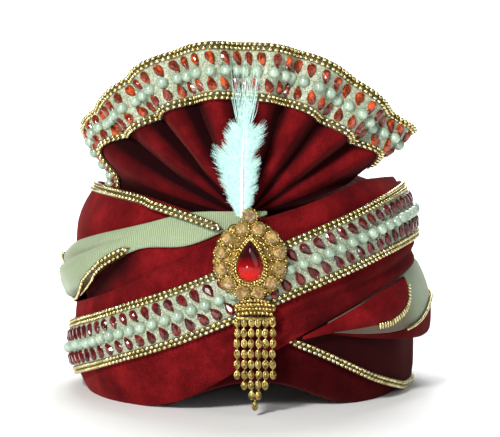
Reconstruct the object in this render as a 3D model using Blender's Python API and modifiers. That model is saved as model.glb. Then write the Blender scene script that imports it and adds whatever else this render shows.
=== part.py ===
"""A ready-tied wedding turban: velvet wraps over a padded cap, a pleated fan crest, bead lace and a jewelled brooch.

Metres, +Z up, the front faces -Y. Angles go round the body from the front, positive towards +X.
"""

import math

import bmesh
import bpy
from mathutils import Matrix, Vector

# Cap, the hollow that takes the head
HEAD_HALF_WIDTH = 0.079
HEAD_HALF_DEPTH = 0.098
CAP_WALL = 0.003
CAP_CROWN = 0.004
CAP_SQUARENESS = 3.4
CAP_FOOT_RISE = 0.002

# Gathered cloth over the cap and the padding's top
CROWN_RISE = 0.003
CROWN_FULLNESS = 3.0
CROWN_FRONT_SHARE = 0.86
CROWN_BACK_SHARE = 0.98

# Padded body under the wraps
BODY_HALF_WIDTH = 0.110
BODY_HALF_DEPTH = 0.1165
BODY_HEIGHT = 0.150
SHOULDER_INSET = 0.015
RIM_ROUND = 0.006
ARCH_HEIGHT = 0.021
ARCH_MIDDLE = 4.0
ARCH_HALF_ANGLE = 48.0

# Cloth and clearances
CLOTH = 0.0024
SASH_CLOTH = 0.0016
LAYER_GAP = 0.0006
WRAP_PUFF = 0.002
SHOULDER_PUFF = 0.0045
HEM_TUCK = 0.0045
HEM_MARGIN = 0.007
# Angles at the sides where the rising wrap begins to pass under the falling wrap, and over what turn
LEFT_CROSSING = 96.0
RIGHT_CROSSING = 76.0
CROSSING_TURN = 28.0

# Trims
LACE_WIDTH = 0.037
LACE_THICKNESS = 0.0018
TRIM_WIDTH = 0.0055
TRIM_THICKNESS = 0.0022

# Sash loops at the sides
LOOP_REACH = 0.0085
FLAP_BULGE = 0.25

# Fan crest
FAN_RADIUS = 0.111
FAN_THICKNESS = 0.0015
FAN_DEPTH = 0.1045
FAN_ROOT = 0.003
FAN_SEAT = 0.0005
PLEAT_DEPTH = 0.0055

# Brooch
BROOCH_SIDE_OFFSET = 0.0035
BROOCH_HEIGHT = 0.100
STONE_RING_HALF_WIDTH = 0.0184
STONE_RING_HALF_HEIGHT = 0.0204
RING_STONES = 12
RING_STONE_RADIUS = 0.0039
RING_STONE_HEIGHT = 0.0026
CUP_RADIUS = 0.0047
CUP_HEIGHT = 0.0022
CENTRE_STONE_HALF_WIDTH = 0.009
CENTRE_STONE_LENGTH = 0.025
CENTRE_STONE_HEIGHT = 0.006
PLATE_THICKNESS = 0.0016
CUP_WALL = 0.0008
BEZEL_WALL = 0.0024
BEZEL_HEIGHT = 0.0034
TOP_CUP_RADIUS = 0.0046
SEAT_GAP = 0.0003
PIN_CLEARANCE = 0.0016
PIN_HALF_HEIGHT = 0.0009
BROOCH_PIN_LENGTH = 0.028

# Tassel
STRANDS = 6
STRAND_PITCH = 0.0044
STRAND_BEAD_PITCH = 0.0065
STRAND_BEAD_RADIUS = 0.0017
STRAND_NECK_RADIUS = 0.0007
TASSEL_HEAD_WIDTH = 0.026
TASSEL_HEAD_HEIGHT = 0.011
TASSEL_HEAD_THICKNESS = 0.003
TASSEL_SIDE_OFFSET = 0.003
TASSEL_BAR_HEIGHT = 0.0025
SHORTEST_STRAND_BEADS = 6

# Feather
FEATHER_LENGTH = 0.110
FEATHER_THICKNESS = 0.0012
FEATHER_HALF_WIDTH = 0.020
QUILL_RADIUS = 0.0010
FEATHER_FRONT_OF_FAN = 0.0135
FEATHER_TUCK = 0.001
FEATHER_SIDE_OFFSET = -0.0015
FEATHER_SWAY = 0.007
FEATHER_NOTCH = 0.80
FEATHER_LOCK_RISE = 0.009
FEATHER_LOCKS = 13

# Mesh fineness
COLUMNS = 40
STEP = 360.0 / COLUMNS
FAN_COLUMNS = 40
FAN_INNER_ROW_COUNT = 4
LACE_ROW_COUNT = 2
LOWER_LEVELS = [0.0, 0.45, 0.78, 1.0]
SEAM_LEVEL = 2
PADDING_LEVELS = [0.0, 0.06, 0.22, 0.40, 0.58, 0.76, 0.92, 1.0]
DOME_LEVELS = [0.55, 0.88, 1.0]
CROWN_LEVELS = [1.0, 0.88, 0.72, 0.50, 0.0]
ROUND_SIDES = 10

# Height share of the body, inward share of the shoulder inset
BODY_PROFILE = [
    {"height": 0.00, "inset": 0.28},
    {"height": 0.05, "inset": 0.08},
    {"height": 0.17, "inset": 0.00},
    {"height": 0.60, "inset": 0.00},
    {"height": 0.73, "inset": 0.10},
    {"height": 0.83, "inset": 0.27},
    {"height": 0.92, "inset": 0.55},
    {"height": 1.00, "inset": 1.00},
]

# Top of the padding round the body, as shares of its height
PADDING_TOP = [
    {"angle": -180, "top": 0.80},
    {"angle": -135, "top": 0.86},
    {"angle": -90, "top": 0.925},
    {"angle": -45, "top": 0.878},
    {"angle": 0, "top": 0.828},
    {"angle": 45, "top": 0.878},
    {"angle": 90, "top": 0.925},
    {"angle": 135, "top": 0.86},
]

# Wrap that rises from the wearer's right to left: its edges and its lace's middle, as shares of the body height
RISING_WRAP = [
    {"angle": -180, "low": 0.267, "lace": 0.48, "high": 0.693},
    {"angle": -160, "low": 0.173, "lace": 0.39, "high": 0.633},
    {"angle": -135, "low": 0.080, "lace": 0.29, "high": 0.560},
    {"angle": -110, "low": 0.020, "lace": 0.215, "high": 0.467},
    {"angle": -90, "low": 0.014, "lace": 0.195, "high": 0.413},
    {"angle": -60, "low": 0.014, "lace": 0.265, "high": 0.467},
    {"angle": -40, "low": 0.014, "lace": 0.34, "high": 0.547},
    {"angle": -20, "low": 0.067, "lace": 0.43, "high": 0.673},
    {"angle": 0, "low": 0.213, "lace": 0.545, "high": 0.807},
    {"angle": 20, "low": 0.353, "lace": 0.66, "high": 0.887},
    {"angle": 45, "low": 0.493, "lace": 0.77, "high": 0.980},
    {"angle": 60, "low": 0.547, "lace": 0.815, "high": 0.993},
    {"angle": 75, "low": 0.587, "lace": 0.84, "high": 0.993},
    {"angle": 90, "low": 0.600, "lace": 0.845, "high": 0.987},
    {"angle": 110, "low": 0.587, "lace": 0.80, "high": 0.967},
    {"angle": 135, "low": 0.507, "lace": 0.705, "high": 0.880},
    {"angle": 160, "low": 0.373, "lace": 0.59, "high": 0.780},
]

# Wrap that falls the other way
FALLING_WRAP = [
    {"angle": -180, "low": 0.293, "high": 0.720},
    {"angle": -160, "low": 0.413, "high": 0.813},
    {"angle": -135, "low": 0.560, "high": 0.893},
    {"angle": -110, "low": 0.630, "high": 0.947},
    {"angle": -90, "low": 0.580, "high": 0.967},
    {"angle": -75, "low": 0.480, "high": 0.963},
    {"angle": -60, "low": 0.420, "high": 0.953},
    {"angle": -40, "low": 0.440, "high": 0.927},
    {"angle": -20, "low": 0.430, "high": 0.867},
    {"angle": 0, "low": 0.370, "high": 0.780},
    {"angle": 20, "low": 0.273, "high": 0.693},
    {"angle": 45, "low": 0.127, "high": 0.560},
    {"angle": 60, "low": 0.067, "high": 0.460},
    {"angle": 75, "low": 0.027, "high": 0.360},
    {"angle": 90, "low": 0.018, "high": 0.293},
    {"angle": 110, "low": 0.027, "high": 0.333},
    {"angle": 135, "low": 0.093, "high": 0.467},
    {"angle": 160, "low": 0.200, "high": 0.613},
]

# Cream sash on the +X side's opposite: edges as shares of the body height, lifts as shares of the loop's reach
LEFT_SASH = [
    {"angle": -157.5, "low": 0.400, "high": 0.420, "edge": 0.10, "middle": 0.15},
    {"angle": -135, "low": 0.367, "high": 0.555, "edge": 0.20, "middle": 0.45},
    {"angle": -110, "low": 0.380, "high": 0.643, "edge": 0.60, "middle": 1.15},
    {"angle": -90, "low": 0.407, "high": 0.669, "edge": 0.75, "middle": 1.40},
    {"angle": -78, "low": 0.440, "high": 0.684, "edge": 0.60, "middle": 1.00},
    {"angle": -65, "low": 0.497, "high": 0.720, "edge": 0.75, "middle": 0.90},
    {"angle": -53, "low": 0.576, "high": 0.751, "edge": 0.60, "middle": 0.62},
    {"angle": -45, "low": 0.640, "high": 0.772, "edge": 0.40, "middle": 0.38},
    {"angle": -34, "low": 0.705, "high": 0.805, "edge": 0.05, "middle": 0.06},
    {"angle": -18, "low": 0.723, "high": 0.857, "edge": 0.00, "middle": 0.00},
    {"angle": 0, "low": 0.822, "high": 0.863, "edge": 0.00, "middle": 0.00},
    {"angle": 7.5, "low": 0.852, "high": 0.864, "edge": 0.00, "middle": 0.00},
]

# Sash on the other side: lip and cream share their meeting line
RIGHT_SASH = [
    {"angle": 27, "low": 0.318, "meet": 0.332, "edge": 0.00, "middle": 0.02},
    {"angle": 45, "low": 0.308, "meet": 0.326, "edge": 0.15, "middle": 0.25},
    {"angle": 60, "low": 0.292, "meet": 0.328, "edge": 0.30, "middle": 0.60},
    {"angle": 75, "low": 0.287, "meet": 0.360, "edge": 0.35, "middle": 0.90},
    {"angle": 90, "low": 0.297, "meet": 0.410, "edge": 0.35, "middle": 1.00},
    {"angle": 112.5, "low": 0.345, "meet": 0.455, "edge": 0.25, "middle": 0.70},
    {"angle": 135, "low": 0.478, "meet": 0.487, "edge": 0.10, "middle": 0.20},
]

# Velvet flap over the cream on that side: its free edge, as shares of the body height
FLAP_EDGE = [
    {"angle": 27, "low": 0.356},
    {"angle": 45, "low": 0.372},
    {"angle": 54, "low": 0.382},
    {"angle": 63, "low": 0.420},
    {"angle": 72, "low": 0.520},
]

# Outline of the fan laid flat: radius as shares of the fan's radius at the middle
FAN_OUTLINE = [
    {"angle": -83, "reach": 1.20},
    {"angle": -80, "reach": 1.27},
    {"angle": -75, "reach": 1.36},
    {"angle": -71, "reach": 1.395},
    {"angle": -67, "reach": 1.37},
    {"angle": -58, "reach": 1.22},
    {"angle": -50, "reach": 1.13},
    {"angle": -31, "reach": 1.063},
    {"angle": -14, "reach": 1.027},
    {"angle": 1, "reach": 1.00},
    {"angle": 18, "reach": 1.009},
    {"angle": 34.5, "reach": 1.025},
    {"angle": 50, "reach": 1.068},
    {"angle": 60, "reach": 1.15},
    {"angle": 66.8, "reach": 1.25},
    {"angle": 75, "reach": 1.27},
]
FAN_LEFT_ANGLE = -83.0
FAN_RIGHT_ANGLE = 75.0
FAN_CUT_ANGLE = 66.8
FAN_CUT_FROM = 0.985
PLEAT_RIDGES = [-88, -69, -50, -34.5, -13, 9, 28.5, 49, 65, 82]
# How the fan bends round the crown: radius at the shoulder height, and its growth for each metre above it
FAN_BEND = {"left": (0.090, 0.60), "right": (0.088, 1.65)}

# Half widths of the feather from its foot up, as shares of its length and of its half width
FEATHER_SHAPE = [
    {"along": 0.00, "left": 0.05, "right": 0.05},
    {"along": 0.10, "left": 0.25, "right": 0.35},
    {"along": 0.20, "left": 0.80, "right": 0.50},
    {"along": 0.33, "left": 1.00, "right": 0.62},
    {"along": 0.45, "left": 0.95, "right": 0.80},
    {"along": 0.55, "left": 0.70, "right": 0.85},
    {"along": 0.64, "left": 0.45, "right": 0.55},
    {"along": 0.75, "left": 0.30, "right": 0.40},
    {"along": 0.88, "left": 0.28, "right": 0.38},
    {"along": 1.00, "left": 0.10, "right": 0.14},
]

COLOURS = {
    "velvet": ((0.20, 0.008, 0.014), 0.85, 0.0),
    "dark_velvet": ((0.10, 0.005, 0.008), 0.85, 0.0),
    "cream": ((0.62, 0.66, 0.50), 0.7, 0.0),
    "lace": ((0.60, 0.62, 0.48), 0.45, 0.0),
    "gold": ((0.75, 0.55, 0.16), 0.25, 1.0),
    "red_stone": ((0.50, 0.01, 0.005), 0.08, 0.0),
    "pale_stone": ((0.72, 0.50, 0.20), 0.10, 0.0),
    "feather": ((0.78, 0.90, 0.86), 0.8, 0.0),
}


def smooth(x):
    x = min(1.0, max(0.0, x))
    return x * x * (3 - 2 * x)


def blend(a, b, share):
    return a + (b - a) * share


def curve(table, along, at, column, period=None):
    """A smooth curve through one column of a table, closed round if it has a period."""
    xs = [row[along] for row in table]
    ys = [row[column] for row in table]
    if period:
        at = (at - xs[0]) % period + xs[0]
        xs = [xs[-1] - period] + xs + [xs[0] + period, xs[1] + period]
        ys = [ys[-1]] + ys + [ys[0], ys[1]]
    else:
        at = min(max(at, xs[0]), xs[-1])
        xs = [2 * xs[0] - xs[1]] + xs + [2 * xs[-1] - xs[-2]]
        ys = [2 * ys[0] - ys[1]] + ys + [2 * ys[-1] - ys[-2]]
    i = max(k for k in range(1, len(xs) - 2) if xs[k] <= at or k == 1)
    width = xs[i + 1] - xs[i]
    t = (at - xs[i]) / width
    slope_a = (ys[i + 1] - ys[i - 1]) / (xs[i + 1] - xs[i - 1]) * width
    slope_b = (ys[i + 2] - ys[i]) / (xs[i + 2] - xs[i]) * width
    return (
        (2 * t**3 - 3 * t**2 + 1) * ys[i]
        + (t**3 - 2 * t**2 + t) * slope_a
        + (3 * t**2 - 2 * t**3) * ys[i + 1]
        + (t**3 - t**2) * slope_b
    )


def height_on(table, angle, column, closed=True):
    """A height in metres from a table of shares of the body height."""
    return curve(table, "angle", angle, column, 360 if closed else None) * BODY_HEIGHT


def oval(angle, half_width, half_depth, height):
    a = math.radians(angle)
    return Vector((half_width * math.sin(a), -half_depth * math.cos(a), height))


def body_inset(height):
    return SHOULDER_INSET * curve(BODY_PROFILE, "height", height / BODY_HEIGHT, "inset")


def body_slope(height):
    """Growth of the inset with height, on the shoulder."""
    step = BODY_HEIGHT * 0.02
    return max(0.0, (body_inset(height + step) - body_inset(height - step)) / (2 * step))


def on_body(angle, height, lift):
    """A point at that lift from the body's outer surface, at its own height."""
    out = lift * math.hypot(1, body_slope(height)) - body_inset(height)
    return oval(angle, BODY_HALF_WIDTH + out, BODY_HALF_DEPTH + out, height)


def arch(angle):
    """How far the rim rises over the forehead."""
    share = abs((angle + 180) % 360 - 180 - ARCH_MIDDLE) / ARCH_HALF_ANGLE
    return ARCH_HEIGHT * math.cos(min(1.0, share) * math.pi / 2) ** 2


def front_share(angle):
    """1 on the front half, where the rising wrap lies on top, 0 on the back half."""
    turn = (angle + 180) % 360 - 180
    crossing = RIGHT_CROSSING if turn > 0 else LEFT_CROSSING
    return 1 - smooth((abs(turn) - crossing) / CROSSING_TURN)


def puffed(share, power=1.0):
    return math.sin(math.pi * min(1.0, max(0.0, share))) ** power


def falling_swell(angle):
    """How far the falling wrap swells: most on the shoulder where it comes round from the back."""
    turn = (angle + 180) % 360 - 180
    return SHOULDER_PUFF * smooth((turn + 150) / 40) * (1 - smooth((turn + 50) / 35))


FALLING_TOP = CLOTH + LAYER_GAP + WRAP_PUFF * 0.5
RISING_TOP = CLOTH + LAYER_GAP + WRAP_PUFF
LACE_TOP = LACE_THICKNESS + LAYER_GAP


def wrap_edges(table, angle, column="low", other="high"):
    return height_on(table, angle, column), height_on(table, angle, other)


def rising_lift(angle, height):
    """Middle of the rising wrap's cloth above the body."""
    low, high = wrap_edges(RISING_WRAP, angle)
    share = (height - low) / (high - low)
    turn = (angle + 180) % 360 - 180
    over = FALLING_TOP * front_share(angle)
    tuck = min(HEM_TUCK, over) * smooth((-turn - 8) / 20) * (1 - smooth(share / 0.45))
    return LAYER_GAP + CLOTH / 2 + over - tuck + WRAP_PUFF * puffed(share)


def falling_lift(angle, height):
    """Middle of the falling wrap's cloth above the body; it swells only where no wrap lies on it."""
    low, high = wrap_edges(FALLING_WRAP, angle)
    covered = blend(low, height_on(RISING_WRAP, angle, "high"), front_share(angle))
    bare = min(max(low, covered), high - CLOTH)
    over = (RISING_TOP + LACE_TOP + LAYER_GAP) * (1 - front_share(angle))
    flat = WRAP_PUFF * 0.5 * puffed((height - low) / (high - low))
    return LAYER_GAP + CLOTH / 2 + over + flat + falling_swell(angle) * puffed((height - bare) / (high - bare))


def mesh_object(name, mesh, material):
    obj = bpy.data.objects.new(name, mesh)
    bpy.data.collections["turban"].objects.link(obj)
    mesh.materials.append(material_named(material))
    return obj


def material_named(name):
    if name in bpy.data.materials:
        return bpy.data.materials[name]
    colour, roughness, metallic = COLOURS[name]
    material = bpy.data.materials.new(name)
    material.use_nodes = True
    shader = material.node_tree.nodes["Principled BSDF"]
    shader.inputs["Base Color"].default_value = (*colour, 1)
    shader.inputs["Roughness"].default_value = roughness
    shader.inputs["Metallic"].default_value = metallic
    return material


def grid_mesh(name, columns, rows, place):
    """A primitive grid, each of whose points goes to place(across columns 0..1, across rows 0..1)."""
    made = bmesh.new()
    bmesh.ops.create_grid(made, x_segments=columns, y_segments=rows, size=0.5)
    for vertex in made.verts:
        vertex.co = place(vertex.co.x + 0.5, vertex.co.y + 0.5)
    bmesh.ops.remove_doubles(made, verts=made.verts, dist=1e-6)
    mesh = bpy.data.meshes.new(name)
    made.to_mesh(mesh)
    made.free()
    mesh.shade_smooth()
    return mesh


def sheet(name, columns, rows, place, thickness, material):
    """An open surface thickened evenly on both sides."""
    obj = mesh_object(name, grid_mesh(name, columns, rows, place), material)
    solid = obj.modifiers.new("cloth", "SOLIDIFY")
    solid.thickness = thickness
    solid.offset = 0
    return obj


def snapped(angle):
    """The nearest of the columns that all wound pieces share."""
    return round(angle / STEP) * STEP


def wound_sheet(name, start, end, rows, low, high, lift, thickness, material):
    """Cloth wound on the body between two angles and two edges."""
    start, end = snapped(start), snapped(end)

    def place(u, v):
        angle = blend(start, end, u)
        height = blend(low(angle), high(angle), v)
        return on_body(angle, height, lift(angle, height, v))

    return sheet(name, round((end - start) / STEP), rows, place, thickness, material)


def cap_height():
    """The dome rises a little over the wraps' highest edge."""
    return BODY_HEIGHT + CAP_CROWN


def cap_radius_share(height):
    """The cap's width at a height, as a share of its width at the rim."""
    share = min(1.0, max(0.0, height / cap_height()))
    return (1 - share**CAP_SQUARENESS) ** (1 / CAP_SQUARENESS)


def cap_point(angle, height, outside):
    half_width = (HEAD_HALF_WIDTH + CAP_WALL) * cap_radius_share(height)
    half_depth = (HEAD_HALF_DEPTH + CAP_WALL) * cap_radius_share(height)
    return oval(angle, half_width + outside, half_depth + outside, height)


def padding_top(angle):
    return height_on(PADDING_TOP, angle, "top")


def cap_levels(angle):
    """Heights of the cap's rings: up to the padding's top, then over the dome."""
    foot, top = arch(angle) + CAP_FOOT_RISE, padding_top(angle)
    lower = [blend(foot, top, share) for share in LOWER_LEVELS]
    return lower + [blend(top, cap_height(), share) for share in DOME_LEVELS]


def cap_shell(name, levels, foot_gap):
    """A ring of the cap through some of its levels, its wall growing inwards."""

    def place(u, v):
        angle = blend(-180, 180, u)
        height = cap_levels(angle)[levels[round(v * (len(levels) - 1))]]
        return cap_point(angle, height + (foot_gap if v == 0 else 0), 0)

    obj = mesh_object(name, grid_mesh(name, COLUMNS, len(levels) - 1, place), "velvet")
    solid = obj.modifiers.new("wall", "SOLIDIFY")
    solid.thickness = CAP_WALL
    solid.offset = -1


def make_cap():
    """The head band and the dome sewn to it."""
    total = len(LOWER_LEVELS) + len(DOME_LEVELS)
    cap_shell("head_band", list(range(SEAM_LEVEL + 1)), 0)
    cap_shell("crown_cap", list(range(SEAM_LEVEL, total)), CAP_WALL / 2)


def cloth_inside(angle, height):
    """Inner face of the innermost wrap at a height, or of the lower lying wrap where none covers it."""
    faces = {"rising": rising_lift(angle, height), "falling": falling_lift(angle, height)}
    covering = []
    for name, table in (("rising", RISING_WRAP), ("falling", FALLING_WRAP)):
        low, high = wrap_edges(table, angle)
        if low - HEM_MARGIN < height < high + HEM_MARGIN:
            covering.append(faces[name])
    return min(covering or faces.values()) - CLOTH / 2


def padding_lift(angle, low, high):
    """The fullest padding that stays under the wraps between two heights."""
    samples = [blend(low, high, k / 8) for k in range(9)]
    return min(cloth_inside(angle, height) for height in samples) - LAYER_GAP


def padding_section(angle):
    """The padding's closed outline at an angle: foot, outer face, top, then down along the cap."""
    foot, top = arch(angle), padding_top(angle)
    inner = [cap_point(angle, level, LAYER_GAP * 2) for level in cap_levels(angle)[: len(LOWER_LEVELS)]]
    inner_foot = inner[0].copy()
    inner_foot.z = foot
    outer_foot = on_body(angle, foot, -RIM_ROUND)
    section = [inner_foot, inner_foot.lerp(outer_foot, 0.5), outer_foot]
    heights = [blend(foot, top, share) for share in PADDING_LEVELS]
    for k, height in enumerate(heights[1:-1], 1):
        lift = padding_lift(angle, heights[k - 1], heights[k + 1])
        section.append(on_body(angle, height, lift - (RIM_ROUND * 0.2 if k == 1 else 0)))
    section.append(on_body(angle, top, padding_lift(angle, heights[-2], top) - RIM_ROUND * 0.5))
    return section + inner[:0:-1]


def make_padding():
    sections = [padding_section(blend(-180, 180, i / COLUMNS)) for i in range(COLUMNS)]
    made = bmesh.new()
    rings = [[made.verts.new(point) for point in section] for section in sections]
    for i, ring in enumerate(rings):
        following = rings[(i + 1) % COLUMNS]
        for k in range(len(ring)):
            after = (k + 1) % len(ring)
            made.faces.new((ring[k], following[k], following[after], ring[after]))
    bmesh.ops.recalc_face_normals(made, faces=made.faces)
    mesh = bpy.data.meshes.new("padded_body")
    made.to_mesh(mesh)
    made.free()
    mesh_object("padded_body", mesh, "dark_velvet")


def crown_rim(angle):
    """Edge of the crown's cloth: inside the fan in front and near the padding's edge behind it."""
    top = padding_top(angle)
    behind_fan = smooth((abs((angle + 180) % 360 - 180) - 78) / 22)
    reach = blend(CROWN_FRONT_SHARE, CROWN_BACK_SHARE, behind_fan)
    edge = padding_lift(angle, top - RIM_ROUND, top) - RIM_ROUND * 0.5 - body_inset(top)
    return oval(angle, (BODY_HALF_WIDTH + edge) * reach, (BODY_HALF_DEPTH + edge) * reach, top + LAYER_GAP + CLOTH / 2)


def make_crown_cloth():
    """Cloth drawn together in the middle of the crown and spread over the cap and the padding's top."""
    summit = cap_height() + CROWN_RISE

    def place(u, v):
        rim = crown_rim(blend(-180, 180, u))
        spread = CROWN_LEVELS[round(v * (len(CROWN_LEVELS) - 1))]
        height = blend(rim.z, summit, 1 - spread**CROWN_FULLNESS)
        return Vector((rim.x * spread, rim.y * spread, height))

    sheet("crown_cloth", COLUMNS, len(CROWN_LEVELS) - 1, place, CLOTH, "velvet")


def make_wraps():
    def edge(table, column):
        return lambda angle: height_on(table, angle, column)

    wound_sheet(
        "rising_wrap", -180, 180, 6, edge(RISING_WRAP, "low"), edge(RISING_WRAP, "high"),
        lambda angle, height, v: rising_lift(angle, height), CLOTH, "velvet",
    )
    wound_sheet(
        "falling_wrap", -180, 180, 5, edge(FALLING_WRAP, "low"), edge(FALLING_WRAP, "high"),
        lambda angle, height, v: falling_lift(angle, height), CLOTH, "velvet",
    )
    lace_lift = CLOTH / 2 + LAYER_GAP * 1.5 + LACE_THICKNESS / 2
    wound_sheet(
        "wrap_lace", -180, 180, 3,
        lambda angle: height_on(RISING_WRAP, angle, "lace") - LACE_WIDTH / 2,
        lambda angle: height_on(RISING_WRAP, angle, "lace") + LACE_WIDTH / 2,
        lambda angle, height, v: rising_lift(angle, height) + lace_lift,
        LACE_THICKNESS, "lace",
    )


def fan_base():
    """The fan's foot stands in the trough, on the padding's top."""
    return padding_top(0) + FAN_SEAT


def bent_fan(flat_angle, radius):
    """A point of the fan laid flat, bent round the crown, with the plan direction that faces outwards."""
    a = math.radians(flat_angle)
    side, height = radius * math.sin(a), fan_base() + radius * math.cos(a)
    base, growth = FAN_BEND["left" if side < 0 else "right"]
    bend = base + growth * max(0.0, height - BODY_HEIGHT)
    turn = side / bend
    point = Vector((bend * math.sin(turn), -FAN_DEPTH + bend * (1 - math.cos(turn)), height))
    return point, Vector((math.sin(turn), -math.cos(turn), 0))


def fan_angle(u, radius_share):
    """Flat angle of a fan column; the last ones lean in towards the cut end's outer corner."""
    angle = blend(FAN_LEFT_ANGLE, FAN_RIGHT_ANGLE, u)
    cut = (FAN_RIGHT_ANGLE - FAN_CUT_ANGLE) * smooth((radius_share - 0.6) / 0.4)
    return angle - cut * smooth((u - 0.86) / 0.14)


def pleat(flat_angle):
    """1 on a pleat's ridge, -1 in its valley."""
    k = max(i for i in range(len(PLEAT_RIDGES) - 1) if PLEAT_RIDGES[i] <= flat_angle or i == 0)
    share = (flat_angle - PLEAT_RIDGES[k]) / (PLEAT_RIDGES[k + 1] - PLEAT_RIDGES[k])
    return math.cos(2 * math.pi * share)


def fan_point(u, radius_share, lift):
    """A point of the fan; the pleats fade towards the root and under the wraps."""
    angle = fan_angle(u, radius_share)
    outline = FAN_RADIUS * curve(FAN_OUTLINE, "angle", angle, "reach")
    radius = blend(FAN_ROOT, outline, radius_share)
    point, out = bent_fan(angle, radius)
    fade = smooth((radius / FAN_RADIUS - 0.1) / 0.36) * smooth(((point.z - fan_base()) / FAN_RADIUS - 0.065) / 0.32)
    return point + out * (lift + PLEAT_DEPTH * fade * pleat(angle))


def fan_lace_inner(u):
    """Radius share at which the fan's lace begins."""
    outline = FAN_RADIUS * curve(FAN_OUTLINE, "angle", fan_angle(u, 1), "reach")
    return 1 - LACE_WIDTH / (outline - FAN_ROOT)


def make_fan():
    rows = FAN_INNER_ROW_COUNT + LACE_ROW_COUNT

    def fan_place(u, v):
        row, inner = v * rows, fan_lace_inner(u)
        if row <= FAN_INNER_ROW_COUNT:
            return fan_point(u, inner * row / FAN_INNER_ROW_COUNT, 0)
        return fan_point(u, blend(inner, 1, (row - FAN_INNER_ROW_COUNT) / LACE_ROW_COUNT), 0)

    sheet("fan", FAN_COLUMNS, rows, fan_place, FAN_THICKNESS, "velvet")
    lift = FAN_THICKNESS / 2 + LAYER_GAP * 2.4 + LACE_THICKNESS / 2

    def lace_place(u, v):
        return fan_point(u, blend(fan_lace_inner(u), 1, v), lift)

    sheet("fan_lace", FAN_COLUMNS, LACE_ROW_COUNT, lace_place, LACE_THICKNESS, "lace")


def loop_bow(table, angle, share):
    """How far a sash stands off what it lies on: its edge, and the bow between its edges."""
    edge = curve(table, "angle", angle, "edge")
    middle = curve(table, "angle", angle, "middle")
    return LOOP_REACH * (edge * (1 - share) ** 2 + middle * puffed(share, 0.8))


def over_falling_wrap(angle, height):
    return falling_lift(angle, height) + CLOTH / 2 + LAYER_GAP * 1.5 + SASH_CLOTH / 2


def left_sash_lift(angle, height):
    share = (height - left_low(angle)) / (left_high(angle) - left_low(angle))
    return over_falling_wrap(angle, height) + loop_bow(LEFT_SASH, angle, share)


def left_low(angle):
    return curve(LEFT_SASH, "angle", angle, "low") * BODY_HEIGHT


def left_high(angle):
    return curve(LEFT_SASH, "angle", angle, "high") * BODY_HEIGHT


def right_low(angle):
    return curve(RIGHT_SASH, "angle", angle, "low") * BODY_HEIGHT


def right_meet(angle):
    return curve(RIGHT_SASH, "angle", angle, "meet") * BODY_HEIGHT


def right_high(angle):
    return height_on(RISING_WRAP, angle, "low") - LAYER_GAP * 2


def right_lift(angle, height):
    """Lift of the loop on the right, one bow from its lower edge to the rising wrap's edge."""
    share = (height - right_low(angle)) / (right_high(angle) - right_low(angle))
    return over_falling_wrap(angle, height) + loop_bow(RIGHT_SASH, angle, share)


def make_sashes():
    wound_sheet(
        "left_sash", LEFT_SASH[0]["angle"], LEFT_SASH[-1]["angle"], 4, left_low, left_high,
        lambda angle, height, v: left_sash_lift(angle, height), SASH_CLOTH, "cream",
    )
    split = LAYER_GAP / 2
    wound_sheet(
        "right_sash", RIGHT_SASH[0]["angle"], RIGHT_SASH[-1]["angle"], 3,
        lambda angle: right_meet(angle) + split, right_high,
        lambda angle, height, v: right_lift(angle, height), SASH_CLOTH, "cream",
    )
    wound_sheet(
        "right_sash_lip", RIGHT_SASH[0]["angle"], RIGHT_SASH[-1]["angle"], 2,
        right_low, lambda angle: right_meet(angle) - split,
        lambda angle, height, v: right_lift(angle, height), SASH_CLOTH, "velvet",
    )
    wound_sheet(
        "right_flap", FLAP_EDGE[0]["angle"], FLAP_EDGE[-1]["angle"], 3, flap_low, right_high,
        lambda angle, height, v: flap_lift(angle, height), SASH_CLOTH, "velvet",
    )


def flap_low(angle):
    return curve(FLAP_EDGE, "angle", angle, "low") * BODY_HEIGHT


def flap_lift(angle, height):
    """The flap bulges over the cream."""
    span = right_high(angle) - flap_low(angle)
    bulge = FLAP_BULGE * span * puffed((height - flap_low(angle)) / span)
    return right_lift(angle, height) + SASH_CLOTH + LAYER_GAP + bulge


def make_trims():
    over_cloth = CLOTH / 2 + LAYER_GAP + TRIM_THICKNESS / 2

    def strip(name, start, end, middle, lift):
        wound_sheet(
            name, start, end, 1,
            lambda angle: middle(angle) - TRIM_WIDTH / 2, lambda angle: middle(angle) + TRIM_WIDTH / 2,
            lift, TRIM_THICKNESS, "gold",
        )

    def upper_lift(angle, height, v):
        over_sash = (SASH_CLOTH + LAYER_GAP * 2 + WRAP_PUFF) * smooth((angle + 37.5) / 7.5)
        return falling_lift(angle, height) + over_cloth + over_sash

    strip(
        "falling_trim_upper", -270, -7.5,
        lambda angle: height_on(FALLING_WRAP, angle, "high") - TRIM_WIDTH / 2, upper_lift,
    )
    strip(
        "falling_trim_lower", 27, 189,
        lambda angle: height_on(FALLING_WRAP, angle, "low") + TRIM_WIDTH / 2,
        lambda angle, height, v: falling_lift(angle, height) + over_cloth,
    )
    over_sash = SASH_CLOTH / 2 + LAYER_GAP + TRIM_THICKNESS / 2

    def left_trim_lift(angle, height, v):
        return left_sash_lift(angle, height) + over_sash + LAYER_GAP

    strip(
        "left_trim_lower", -142.5, -37.5, lambda angle: left_low(angle) + TRIM_WIDTH / 2, left_trim_lift
    )
    strip(
        "left_trim_upper", -135, -90, lambda angle: left_high(angle) - TRIM_WIDTH * 1.2, left_trim_lift
    )
    strip(
        "right_trim_flap", 54, 72, lambda angle: flap_low(angle) + TRIM_WIDTH / 2,
        lambda angle, height, v: flap_lift(angle, height) + over_sash + LAYER_GAP * 3,
    )
    strip(
        "right_trim_lip", 60, 120, right_meet,
        lambda angle, height, v: right_lift(angle, height) + over_sash,
    )


def brooch_frame(side, height, depth):
    """Places a piece whose own +Z faces the front and whose own +Y points up."""
    return Matrix.Translation(Vector((side, depth, height))) @ Matrix.Rotation(math.pi / 2, 4, "X")


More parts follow.
